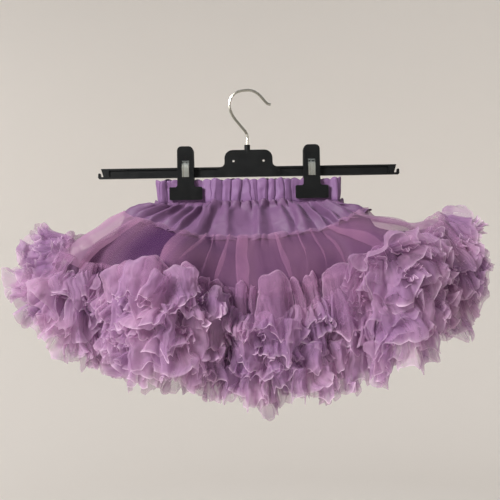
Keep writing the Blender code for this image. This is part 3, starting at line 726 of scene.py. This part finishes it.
def build_upper_tier():
    """Sheer tulle from the yoke's seam: tight gathers that open into a few soft folds, each
    laid over itself."""
    columns, rows = 1400, 26
    opened, _ = even_along(1.6, steps(columns))
    level = np.linspace(*TIER_LEVELS, rows + 1)
    opened, level = np.broadcast_arrays(opened[None, :], level[:, None])
    down = (level - level[0]) / (level[-1] - level[0])
    along, lift = opened.copy(), np.zeros_like(opened)
    for crease in TIER_CREASES:
        place = crease.top + (crease.low - crease.top) * down
        top, low = PLEAT_TOP * crease.wide_top, PLEAT_LOW * crease.wide_low
        wide = top + (low - top) * down
        off = from_front(opened - place) / wide
        lay = 0.05 + 0.25 * crease.height - 0.35 * smoothstep(down, 0.55, 1.0)
        along = along - wide * lay * PEAK * off * np.exp(-off * off)
        over = (1 + np.tanh(2 * off)) / 2 * np.exp(-(np.maximum(off - 0.7, 0) / 1.6) ** 2)
        lift = lift + crease.height * over * np.exp(-(np.minimum(off + 3, 0)) ** 2)
    gathers = arches(opened, TIER_VALLEYS, 1.0, 0.6, 38) * 0.45
    gathers = gathers * fade(down, 0.02, 0.35)
    gathers = gathers * (1 - 0.8 * smoothstep(abs(from_front(opened)), 84, 96))
    belly = np.sin(math.pi * np.clip(down, 0, 1)) ** 0.6
    wave = 1.2 + gathers + lift * (0.35 + 0.65 * belly) + 3.0 * belly
    wave = wave - end_sag(opened, down)
    points = moved(cloth_place(along, level), (cloth_normal(opened, level), wave))
    points = roughened(points, (2.4, 30.0, 16), (0.6, 12.0, 17))
    # a paler, denser band along the tier's doubled top edge at its seam; its sides and back are
    # painted paler and denser, a painted highlight where the tulle turns away
    edges = np.maximum(0.5 * fade(down, 0.015, 0.05),
                       0.52 * smoothstep(abs(from_front(opened)), 70, 88))
    # one panel beside the left front fold is sheerer than the rest, so the dark lining shows
    # through: partly the lining itself, partly painted shade for the valley beside the fold
    panel_end = -52 - 2 * down
    thin = smoothstep(opened, -76, -64) * fade(opened, panel_end - 3, panel_end)
    return cloth_sheet("upper_tier_tulle", points, (2.2, 0.07), material=TULLE, edge=edges,
                       thin=0.3 * thin)


def build_lower_tier():
    """Fuller tulle that rolls over its seam and drops in soft columns under the ruffles."""
    columns, rows = 1300, 20
    turned, drop = 0.3, 52.0       # the share of rows that roll over, and how far the rest hangs
    share = steps(columns)
    along, _ = even_along(2.2, share)
    down = steps(rows)[:, None]
    over, hung = turn_over(down, turned)
    rise = 3.5 + 2.5 * drift(share, 60, 65)
    fall_by = -rise * np.sin(math.pi * over) + drop * hung
    out_by = (4.0 + 2.0 * drift(share, 44, 66)) * (1 - np.cos(math.pi * over)) / 2
    gathers = 2.0 * np.sin(150 * 2 * math.pi * share + 3.0 * drift(share, 110, 61))
    gathers = gathers + 3.4 * np.sin(70 * 2 * math.pi * share + 3.0 * drift(share, 50, 62))
    out_by = out_by + gathers * (0.15 + 0.85 * smoothstep(down, turned * 0.6, 0.8)) + 0.5
    seam = np.full_like(along, BAND_SEAM + 0.04)
    root, below = cloth_place(along, seam), cloth_place(along, seam + FALL_LEVEL)
    fall = unit(below - root)
    across = unit(cloth_place(along + 1.0, seam) - cloth_place(along - 1.0, seam))
    normal = unit(np.cross(fall, across))
    points = moved(root, (fall, fall_by), (normal, out_by))
    points = roughened(points, (2.2, 20.0, 63), (0.9, 7.0, 64))
    return cloth_sheet("lower_tier_tulle", points, (2.6, 0.09), material=FLAP_TULLE)


# ---------------------------------------------------------------- ruffles
# How the ruffles stand at places along the waistband: degrees from hanging down (0) to
# standing straight out (90) at the root and at the free edge, their width and gathers as a
# share of the strip's, how far their roots stand off the cloth, and how much of the way to
# the hem they start lower.
Stand = namedtuple("Stand", "along root edge width wave off lower")
STANDS = table(
    Stand,
    (-160, 38, 12, 1.0, 0.9, -4, 0), (-132, 34, 12, 1.0, 0.8, -2, 0),
    (-114, 50, 42, 1.1, 1.0, 0, 0.08), (-103, 54, 92, 1.15, 1.0, 2, 0.06),
    (-92, 54, 38, 1.12, 0.9, 2, 0.10), (-83, 52, 22, 1.4, 0.8, 4, 0.10),
    (-76, 50, 28, 1.1, 0.7, 6, 0.10), (-60, 75, 30, 1.15, 1.0, 6, 0.14),
    (-44, 70, 20, 1.1, 1.0, 6, 0.15), (-22, 55, 12, 0.98, 0.9, 8, 0.16),
    (0, 52, 8, 1.2, 1.0, 4, 0.20), (18, 52, 8, 1.0, 1.0, 2, 0.20), (36, 52, 10, 1.2, 1.0, 6, 0.19),
    (50, 50, 12, 0.98, 0.8, 2, 0.22), (64, 84, 22, 1.45, 0.9, 2, 0.06),
    (76, 90, 26, 1.2, 0.9, 2, 0.06), (86, 54, 18, 1.22, 0.9, 6, 0.10),
    (95, 28, 4, 1.3, 0.9, 0, 0.2), (104, 34, 60, 0.84, 1.2, 0, 0.12),
    (116, 44, 34, 1.05, 1.0, 0, 0.08), (134, 34, 12, 1.0, 0.8, -2, 0),
    (162, 38, 12, 1.0, 0.9, -4, 0), (BACK, 38, 10, 1.0, 0.9, -4, 0))


# A strip's root as a level, how far off the cloth it starts, its width, how many loops it makes
# right round, and the share by which it stands out less than the table says.
Strip = namedtuple("Strip", "name root inset width waves flatten seed")
STRIPS = tuple(
    Strip(f"ruffle_{i + 1}", BAND_SEAM + 0.07 + 0.072 * i, 4.0 - 1.2 * i,
          (27, 24)[i % 2] + 0.8 * i, (112, 150)[i % 2] + (7 * i) % 9, 0.05 * i, 20 + i)
    for i in range(11))


def strip_noise(across, down, wide, long, seed):
    """Smooth random values over a strip, in cells `wide` across and `long` down it."""
    around = round(across[-1] / wide)
    values = np.random.default_rng(seed).uniform(-1, 1, (64, around))
    x, y = across / across[-1] * (around - 1e-6), down / long
    i, j = np.floor(x).astype(int), np.floor(y).astype(int)
    u, v = ease(x - i), ease(y - j)
    return ((values[j % 64, i % around] * (1 - u) + values[j % 64, (i + 1) % around] * u) * (1 - v)
            + (values[(j + 1) % 64, i % around] * (1 - u)
               + values[(j + 1) % 64, (i + 1) % around] * u) * v)


CALM_AT, CALM_WIDE = 107, 12  # place and half width of the stretch that flutters least


def build_ruffle(strip):
    """One long strip gathered to its seam, its free edge meandering in loops."""
    columns, rows = 2200, 9
    share = np.arange(columns) / columns
    along, around = even_along(2.5, share)
    down = steps(rows)[:, None]
    turn = 2 * math.pi * share
    waves = strip.waves

    def vary(knots, step):
        return drift(share, knots, strip.seed + step)

    def stand(column):
        return table_value(STANDS, column, along)

    phase = waves * turn + 2.7 * vary(waves // 2, 0) + strip.seed
    lean = 1.6 * vary(waves, 40)
    small_phase = round(0.47 * waves) * turn + 2.6 * vary(waves, 80)
    pleats = round(3.1 * waves) * turn + 2.5 * vary(waves, 120)
    height = (0.85 + 0.4 * vary(waves, 160)) * stand("wave")
    swing = (2.0 * height * down ** 0.5 * np.sin(phase + lean * down)
             + 0.75 * (0.3 + 0.7 * down) * np.sin(small_phase - lean * down)
             + (0.3 + 0.5 * (1 - down) ** 1.5) * np.sin(pleats + 2.0 * lean * down))
    step = around / columns / np.cos(swing[-1]).mean()
    out, side = (added_waves(moves, waves // 5) for moves in (np.sin(swing), np.cos(swing)))
    start = (strip.root + stand("lower") * (HEM - strip.root)
             + 0.07 * vary(44, 320) + 0.05 * vary(90, 360))
    root, below = cloth_place(along, start), cloth_place(along, start + FALL_LEVEL)
    across = unit(np.roll(root, -5, 0) - np.roll(root, 5, 0))
    fall = unit(below - root)
    normal = unit(np.cross(fall, across))
    root = root + normal * (strip.inset + stand("off"))[:, None]
    flutter = (26 * down * vary(waves, 200) + 30 * vary(waves // 2, 240)
               + 46 * smoothstep(down, 0.5, 1.0) * vary(2 * waves, 280))
    calm = 1 - 0.75 * np.exp(-((from_front(along) - CALM_AT) / CALM_WIDE) ** 2)
    angle = np.radians(stand("root") * (1 - strip.flatten) * (1 - down) ** 1.3
                       + stand("edge") * (1 - strip.flatten) * down
                       + flutter * calm)
    width = strip.width * stand("width")
    width = width * (1 + 0.2 * vary(71, 5) + 0.07 * vary(500, 6))
    fell = np.cumsum(np.cos(angle), 0) - np.cos(angle)[0]
    went = np.cumsum(np.sin(angle), 0) - np.sin(angle)[0]
    points = moved(root, (fall, fell * width / rows), (normal, went * width / rows))
    face = normal * np.cos(angle)[..., None] - fall * np.sin(angle)[..., None]
    crumple = 1 - 2 * abs(strip_noise(share * step * columns, down * strip.width, 7.0, 22.0,
                                      strip.seed + 300))
    lift = out * step + 0.9 * crumple * (0.3 + 0.7 * down)
    points = moved(points, (face, lift), (across, side * step))
    points = np.concatenate([points, points[:, :1]], 1)
    points = roughened(roughened(points, (5.0, 46.0, 1), (4.4, 17.0, 2)), (1.3, 6.5, 3))
    # a pale line along the free edge, stronger on some stretches: partly the net's doubled cut
    # edge, partly a painted highlight
    edge_and_highlight = smoothstep(down, 1 - 1.6 / strip.width, 1 - 0.5 / strip.width)
    paler = np.append(0.6 + 0.4 * vary(300, 400), 0.6)
    return cloth_sheet(strip.name, points, (step * columns / METRE, strip.width / METRE),
                       material=RUFFLE_TULLE, edge=edge_and_highlight * paler)


# Loops of tulle that turn over at their tops and hang: place along the band, level of the root,
# half width, rise above the root, length that hangs, how far it stands out, how sharp its ridge
# is (1.3 a roof, 4 a flat column), its lean from straight down, the waves of its hem and how
# far off the cloth it starts.
Flap = namedtuple("Flap", "along level wide rise hang out ridge lean waves off", defaults=[2.0])
TIER_FLAPS = table(
    Flap,
    (-103, 2.05, 13, 3, 30, 10, 2.4, 0, 2), (-93, 2.05, 12, 3, 34, 10, 2.2, -6, 2),
    (-84, 2.05, 9, 3, 60, 12, 1.6, -4, 1), (-70, 2.10, 13, 4, 32, 14, 2.2, 16, 1.6),
    (-63, 2.05, 14, 6, 34, 22, 2.6, 14, 1.4), (-53.5, 2.06, 18, 13, 34, 26, 2.6, -8, 1.6),
    (-42.5, 2.06, 13, 13, 34, 25, 2.2, 8, 1.4), (-49, 2.13, 6, 2, 30, 38, 1.5, -38, 0.8),
    (-33, 2.06, 9, 6, 40, 14, 2.0, 4, 1), (-25, 2.06, 9, 6, 44, 11, 3.2, 0, 1),
    (-16, 2.06, 5, 3, 40, 10, 2.2, 3, 1), (-5.5, 2.06, 6.5, 12, 44, 14, 3.4, 0, 1),
    (2, 2.06, 4, 8, 40, 11, 2.4, 2, 1), (14, 2.05, 20, 19, 46, 22, 2.4, -4, 1.6, 4.0),
    (24.5, 2.07, 6, 12, 42, 17, 1.6, 4, 1), (31, 2.06, 9, 15, 46, 14, 3.2, 0, 1),
    (45, 2.05, 23, 11, 56, 32, 2.8, 2, 1.6, 11.0), (57, 2.06, 8, 5, 38, 12, 2.2, 6, 1),
    (66, 2.04, 8, 3, 24, 9, 2.0, 0, 1.4), (80, 2.04, 10, 3, 26, 9, 2.0, -8, 1.4),
    (92, 2.12, 9, 1, 24, 5, 2.4, 6, 2))
PETAL_OFF = 6.0               # petals start this far off the cloth, among the ruffles
PETALS = table(
    Flap,
    (-57, 2.10, 20, 14, 24, 32, 2.8, -12, 2.2), (-46, 2.12, 16, 14, 22, 32, 2.4, 12, 1.6),
    (-65, 2.14, 13, 9, 26, 28, 2.4, 22, 1.5), (-51, 2.16, 12, 6, 24, 38, 2.0, -30, 1.4),
    (-21, 2.18, 13, 6, 56, 38, 1.5, -5, 1.5), (-40, 2.42, 13, 2, 54, 25, 1.6, 3, 1.5),
    (-32, 2.24, 9, 2, 34, 25, 1.5, 14, 1.2), (-11, 2.38, 9, 2, 36, 25, 1.5, -14, 1.2),
    (0, 2.46, 15, 2, 34, 28, 1.3, -6, 1.3), (9, 2.36, 9, 2, 38, 23, 1.6, 10, 1),
    (18, 2.36, 11, 2, 38, 24, 1.5, -8, 1.2), (26, 2.62, 9, 2, 26, 24, 1.4, 7, 1.4),
    (47, 2.42, 12, 2, 40, 25, 1.5, -4, 1), (38, 2.66, 9, 2, 24, 22, 1.5, 8, 1.4),
    (-75, 2.40, 11, 1, 48, 20, 1.5, -10, 1.3), (-62, 2.36, 17, 2, 56, 26, 1.4, -12, 1.5),
    (-55, 2.33, 7, 1, 38, 32, 1.3, 6, 1), (-49, 2.37, 9, 1, 50, 29, 1.5, 0, 1),
    (-55, 2.72, 13, 2, 30, 27, 1.6, 0, 1.4), (-66, 2.68, 12, 2, 36, 23, 1.5, -8, 1.2),
    (-97, 2.35, 11, 3, 36, 15, 1.6, 18, 1.4), (-93, 2.62, 9, 2, 30, 16, 1.4, 12, 1.3),
    (-101, 2.20, 11, 3, 32, 13, 1.7, 32, 1.4), (-88, 2.50, 10, 2, 38, 14, 1.5, -7, 1.2),
    (91, 2.25, 11, 3, 38, 18, 1.8, 0, 1), (82, 2.12, 9, 2, 28, 20, 1.5, 0, 1.2),
    (66, 2.62, 10, 2, 30, 22, 1.6, 10, 1.6), (62, 2.84, 9, 2, 30, 21, 1.4, 8, 1.3),
    (75, 2.66, 9, 2, 32, 20, 1.5, -12, 1.3), (56, 2.58, 9, 2, 36, 22, 1.5, -14, 1.2),
    (52, 2.50, 8, 2, 38, 20, 1.5, -8, 1.2), (98, 2.55, 9, 2, 30, 12, 1.6, 8, 1.4),
    (-103, 2.62, 5, 2, 14, 32, 1.4, 0, 1.2), (87, 2.62, 9, 2, 24, 15, 1.5, 6, 1.2),
    (-107, 2.50, 11, 2, 32, 12, 1.6, 10, 1.4), (-80, 2.72, 11, 2, 38, 14, 1.5, 4, 1.3),
    (-26, 2.66, 12, 2, 36, 30, 1.5, 6, 1.3), (-8, 2.80, 12, 2, 30, 22, 1.5, -8, 1.3),
    (14, 2.84, 11, 2, 18, 20, 1.5, 4, 1.4), (50, 2.78, 12, 2, 36, 20, 1.5, -6, 1.3),
    (70, 2.86, 12, 2, 36, 16, 1.5, 0, 1.4), (76, 2.84, 10, 2, 26, 16, 1.5, -4, 1.3),
    (-78, 2.84, 11, 2, 36, 12, 1.5, 4, 1.3), (32, 2.86, 11, 2, 30, 18, 1.5, 0, 1.4),
    (0, 2.86, 11, 2, 33, 18, 1.5, 4, 1.4), (-57, 2.88, 11, 2, 33, 16, 1.5, -4, 1.3),
    (89, 2.80, 10, 2, 24, 12, 1.5, 0, 1.3), (22, 2.84, 10, 2, 30, 20, 1.5, -6, 1.3),
    (80, 2.76, 10, 2, 24, 18, 1.5, 8, 1.3), (94, 2.70, 9, 2, 22, 12, 1.5, -6, 1.3))


def flaps_behind(flaps, count, seed):
    """The same mix of flaps, drawn round the back, where they stand out less."""
    rng = np.random.default_rng(seed)
    drawn = []
    for along in uneven_places(count, 116, 300, seed)[:-1]:
        flap = flaps[rng.integers(len(flaps))]
        drawn.append(flap._replace(
            along=along, wide=min(flap.wide, 15), rise=min(flap.rise, 9), off=1.0,
            out=rng.uniform(3, 7), lean=rng.uniform(-12, 12)))
    return tuple(flaps) + tuple(drawn)


def local_frame(along, level, lean=0.0):
    """A point on the cloth, with the ways down it, to its right and out of it."""
    place = np.array([float(along)])
    root = cloth_place(place, np.array([float(level)]))[0]
    fall = unit(cloth_place(place, np.array([level + 0.2]))[0] - root)
    normal = unit(np.cross(fall, cloth_place(place + 1, np.array([float(level)]))[0] - root))
    across = np.cross(normal, fall)
    turn = math.radians(lean)
    return (root, fall * math.cos(turn) + across * math.sin(turn),
            across * math.cos(turn) - fall * math.sin(turn), normal)


HIDDEN = 108                  # flaps further round than this need fewer faces


def flap_points(flap, seed, rough=1.0):
    """One flap's grid of points and its mask of pale edges: its hem, and a painted highlight along
    its fold and its sides.
    """
    turned = 0.4                   # the share of rows that turn over
    columns, rows = (22, 15) if abs(from_front(flap.along)) > HIDDEN else (44, 22)
    rng = np.random.default_rng(seed)
    root, fall, across, normal = local_frame(flap.along, flap.level, flap.lean)
    u = np.linspace(-1.0, 1.0, columns + 1)[None, :]
    down = steps(rows)[:, None]
    over, hung = turn_over(down, turned)
    skew, slope, phase = rng.uniform(-0.25, 0.25), rng.uniform(-0.3, 0.3), rng.uniform(0, 6)
    # across the flap: how high its fold rises, how far its ridge stands out, how low it hangs
    top = (1 - abs(u) ** 3.2) ** (1 / 3.2) * (1 + slope * u + 0.12 * np.sin(5 * u + phase))
    crest = 1 - abs((u - skew) / (1 + abs(skew))) ** flap.ridge
    hem = 1 + 0.14 * np.sin(3.1 * u + phase) + 0.06 * np.sin(9 * u + 2 * phase)
    wave = np.sin(math.pi * flap.waves * u + phase + 0.8 * hung)
    # down it: up over the fold, down to the hem, outward and sideways
    fell = -flap.rise * top * np.sin(math.pi * over) + flap.hang * hem * hung
    went = flap.out * (1 - np.cos(math.pi * over)) / 2 * (0.25 + 0.75 * crest)
    went = went + hung * (0.16 * flap.wide * wave - 0.18 * flap.out)
    aside = flap.wide * u * (0.84 + 0.28 * hung) + 0.1 * flap.wide * hung * np.cos(
        math.pi * flap.waves * u + phase)
    points = moved(root, (fall, fell), (normal, went + flap.off), (across, aside))
    crumple = 1 - 2 * abs(strip_noise((u[0] + 1) * flap.wide, down * (flap.hang + 12), 4.2, 15.0,
                                      seed + 3))
    frill = hung ** 2 * np.sin(2 * math.pi * (u * flap.wide / 7.5 + 0.4 * hung) + 2 * phase)
    points = moved(points, (normal, 1.5 * rough * crumple * (0.4 + 0.6 * hung) + 1.4 * frill))
    points = roughened(roughened(points, (3.8 * rough, 19.0, 2)), (2.2 * rough, 7.0, 3))
    # painted highlight along the top of the fold and down the flap's sides; the pale hem line is
    # partly its doubled edge, partly a painted highlight
    fold = 0.62 * smoothstep(np.sin(math.pi * over), 0.88, 1.0) * (over < 1)
    sides = 0.75 * smoothstep(abs(u), 0.92, 1.0) + 0 * down
    edge_and_highlight = 0.9 * smoothstep(hung, 1 - 2.2 / flap.hang, 1 - 0.6 / flap.hang)
    return points, np.maximum(np.maximum(fold, sides), edge_and_highlight)


# Frills wound up into loose roses: place, level, radius, how far the middle stands out, turns.
Rosette = namedtuple("Rosette", "along level size out turns")
ROSETTES = table(
    Rosette,
    (33, 2.40, 19, 24, 2.2), (3, 2.50, 16, 34, 1.8), (-37, 2.30, 14, 22, 1.8),
    (64, 2.24, 17, 23, 2.2), (72, 2.12, 15, 22, 2.2), (71, 2.40, 18, 25, 2.4),
    (80, 2.36, 16, 21, 2.2), (60, 2.44, 15, 22, 2.0), (88, 2.12, 14, 17, 2.0),
    (-97, 2.20, 17, 16, 2.2), (-90, 2.40, 15, 15, 2.0), (-102, 2.44, 16, 14, 2),
    (-58, 2.56, 14, 24, 1.8), (-46, 2.66, 14, 24, 1.8), (-20, 2.64, 14, 22, 1.8),
    (98, 2.44, 14, 14, 2.0), (93, 2.56, 14, 14, 2.0), (48, 2.66, 14, 21, 1.8),
    (103, 2.62, 14, 26, 2.4))


def rosettes_behind(count, seed):
    rng = np.random.default_rng(seed)
    return ROSETTES + tuple(
        Rosette(along, rng.uniform(2.15, 2.65), rng.uniform(12, 16), rng.uniform(5, 8), 2.0)
        for along in uneven_places(count, 112, 300, seed)[:-1])


def rosette_points(rosette, seed):
    """One rosette: a strip wound round and round, its free edge waved."""
    columns, rows = 150, 7
    rng = np.random.default_rng(seed)
    root, fall, across, normal = local_frame(rosette.along, rosette.level)
    share = steps(columns)[None, :]
    down = steps(rows)[:, None]
    turn = 1.6 * math.pi * rosette.turns * share + rng.uniform(0, 6)
    turn = turn + 0.35 * drift(share * 0.99, 13, seed + 1)
    radius = rosette.size * (0.22 + 0.45 * share) * (1 + 0.25 * drift(share * 0.99, 9, seed + 2))
    flare = rosette.size * (0.1 + 0.38 * share) * down ** 1.4
    waves = 2 * math.pi * 5.5 * rosette.turns * share ** 0.8 + 2.5 * drift(share * 0.99, 12, seed)
    frill = (0.20 * rosette.size * down * np.sin(waves)
             + 0.07 * rosette.size * down * np.sin(2.3 * waves + 1.0))
    around = radius + flare + frill
    depth = 3.0 + rosette.out * down * (1 - 0.55 * share * down) + 0.6 * frill
    squash = rng.uniform(0.75, 1.0)
    points = moved(root, (normal, depth), (fall, around * np.sin(turn) * squash),
                   (across, around * np.cos(turn)))
    points = roughened(points, (2.4, 17.0, 2), (1.2, 6.5, 3))
    # the pale line along the free edge: partly its doubled edge, partly a painted highlight
    return points, smoothstep(down, 0.90, 0.97) + 0 * share


def many_sheets(name, grids, cut, material):
    """Sheets of (points, edges) joined in one mesh."""
    parts = [cloth_sheet(f"{name}_{k}", points, cut, closed=False, edge=edge_and_highlight)
             for k, (points, edge_and_highlight) in enumerate(grids)]
    bm = bmesh.new()
    for part in parts:
        bm.from_mesh(part.data)
    mesh = parts[0].data
    bm.to_mesh(mesh)
    bm.free()
    mesh.name = name
    for part in parts[1:]:
        old = part.data
        bpy.data.objects.remove(part)
        bpy.data.meshes.remove(old)
    piece = parts[0]
    piece.name = name
    mesh.materials.append(material)
    mesh.shade_smooth()
    return piece


# ---------------------------------------------------------------- assembly
def dress(piece, nodes):
    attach(piece, "root")
    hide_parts(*nodes)


# Cloth that goes right round: its builder, slot, the solids it replaces and its flat size.
CUTS = (
    (build_waistband, "satin", ["waistband_front", "waistband_back"], (0.48, 0.027)),
    (build_yoke, "satin", ["yoke"], (0.5, 0.05)),
    (build_lining, "lining", ["lining"], (1.0, 0.11)),
    (build_upper_tier, "tulle", ["upper_tier"], (1.3, 0.07)),
    (build_lower_tier, "tulle", ["lower_tier"], (1.7, 0.06)),
)
for build, slot, nodes, flat in CUTS:
    dress(build(), nodes)

RUFFLE_ROWS = ["ruffle_row_1", "ruffle_row_2", "ruffle_row_3"]
for strip in STRIPS:
    dress(build_ruffle(strip), RUFFLE_ROWS)

LOOPS = flaps_behind(TIER_FLAPS, 18, 43)
HANGING = flaps_behind([petal._replace(off=PETAL_OFF) for petal in PETALS], 24, 41)
ROSES = rosettes_behind(14, 45)
# Many small sheets in one piece: their grids, UV size of each, material, slot, the solids they
# replace and the flat size of each.
CLUSTERS = (
    ("tier_loops", [flap_points(flap, 800 + k, 0.55) for k, flap in enumerate(LOOPS)],
     (0.03, 0.05), FLAP_TULLE, "tulle", ["lower_tier"], (0.032, 0.05)),
    ("petals", [flap_points(flap, 500 + k) for k, flap in enumerate(HANGING)],
     (0.03, 0.045), RUFFLE_TULLE, "ruffle_tulle", RUFFLE_ROWS, (0.028, 0.045)),
    ("rosettes", [rosette_points(rose, 700 + 4 * k) for k, rose in enumerate(ROSES)],
     (0.2, 0.02), RUFFLE_TULLE, "ruffle_tulle", RUFFLE_ROWS, (0.075, 0.017)),
)
for name, grids, cut, material, slot, nodes, (length, depth) in CLUSTERS:
    dress(many_sheets(name, grids, cut, material), nodes)

FINISHES = (
    (PLASTIC, ("hanger_bar", "clip_left_front", "clip_left_back", "clip_right_front",
               "clip_right_back")),
    (STEEL, ("clip_left_spring", "clip_right_spring")),
    (CHROME, ("hanger_hook",)),
)
for material, names in FINISHES:
    for name in names:
        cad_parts[name].data.materials.clear()
        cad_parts[name].data.materials.append(material)


# ---------------------------------------------------------------- stage, light and camera
FLOOR_Z, STAGE_RADIUS, STAGE_CORNER, STAGE_HEIGHT = -1.0, 3.4, 1.2, 3.0        # metres


def build_stage():
    """A round floor that rises smoothly into a wall all round."""
    bm = bmesh.new()
    profile = [(0.0, 0.0), (STAGE_RADIUS - STAGE_CORNER, 0.0)]
    profile += [(STAGE_RADIUS - STAGE_CORNER + STAGE_CORNER * math.sin(a),
                 STAGE_CORNER * (1 - math.cos(a))) for a in np.linspace(0.1, math.pi / 2, 12)]
    profile += [(STAGE_RADIUS, STAGE_HEIGHT)]
    verts = [bm.verts.new((r, 0.0, FLOOR_Z + z)) for r, z in profile]
    edges = [bm.edges.new(pair) for pair in zip(verts, verts[1:])]
    bmesh.ops.spin(bm, geom=verts + edges, cent=(0, 0, 0), axis=(0, 0, 1), angle=2 * math.pi,
                   steps=96, use_merge=True)
    bmesh.ops.remove_doubles(bm, verts=bm.verts, dist=1e-5)
    mesh = bpy.data.meshes.new("floor")
    bm.to_mesh(mesh)
    bm.free()
    mesh.shade_smooth()
    mesh.materials.append(plain_material("pale_floor", colour(232, 227, 221), 0.9))
    floor = bpy.data.objects.new("floor", mesh)
    bpy.context.scene.collection.objects.link(floor)


def area_light(name, place, target, size, power, spread=180):
    """A round lamp at a place, turned to a target; its light spreads over that many degrees."""
    light = bpy.data.lights.new(name, "AREA")
    light.spread = math.radians(spread)
    light.shape = "DISK"
    light.size = size
    light.energy = power
    lamp = bpy.data.objects.new(name, light)
    lamp.location = place
    lamp.rotation_euler = (Vector(target) - Vector(place)).to_track_quat("-Z", "Y").to_euler()
    bpy.context.scene.collection.objects.link(lamp)


build_stage()
area_light("window_light", (-1.55, -1.6, 0.95), (0, 0, -0.2), size=0.9, power=29, spread=100)
area_light("fill_light", (1.5, -1.8, -0.2), (0, 0, -0.24), size=1.6, power=5)
area_light("wall_light", (-2.2, 1.3, 0.5), (-1.9, 3.0, 0.5), size=0.8, power=18)

world = bpy.data.worlds.new("studio")
world.use_nodes = True
sky = world.node_tree.nodes["Background"]
sky.inputs["Color"].default_value = (0.86, 0.86, 0.87, 1.0)
sky.inputs["Strength"].default_value = 0.53
bpy.context.scene.world = world
bpy.context.scene.view_settings.view_transform = "Standard"

CAMERA_AWAY, CAMERA_HEIGHT = 0.95, -0.174
HALF_SEEN = 0.275             # half the width that is seen at the hanger's plane
CAMERA_ROLL = math.radians(0.95)
camera = bpy.data.cameras.new("camera")
camera.sensor_width = 36.0
camera.lens = camera.sensor_width / 2 / (HALF_SEEN / CAMERA_AWAY)
eye = bpy.data.objects.new("camera", camera)
eye.location = (0.0, -CAMERA_AWAY, CAMERA_HEIGHT)
eye.rotation_euler = (math.pi / 2, CAMERA_ROLL, 0.0)
bpy.context.scene.collection.objects.link(eye)
bpy.context.scene.camera = eye

bpy.context.scene.cycles.transparent_max_bounces = 24      # through many layers of tulle
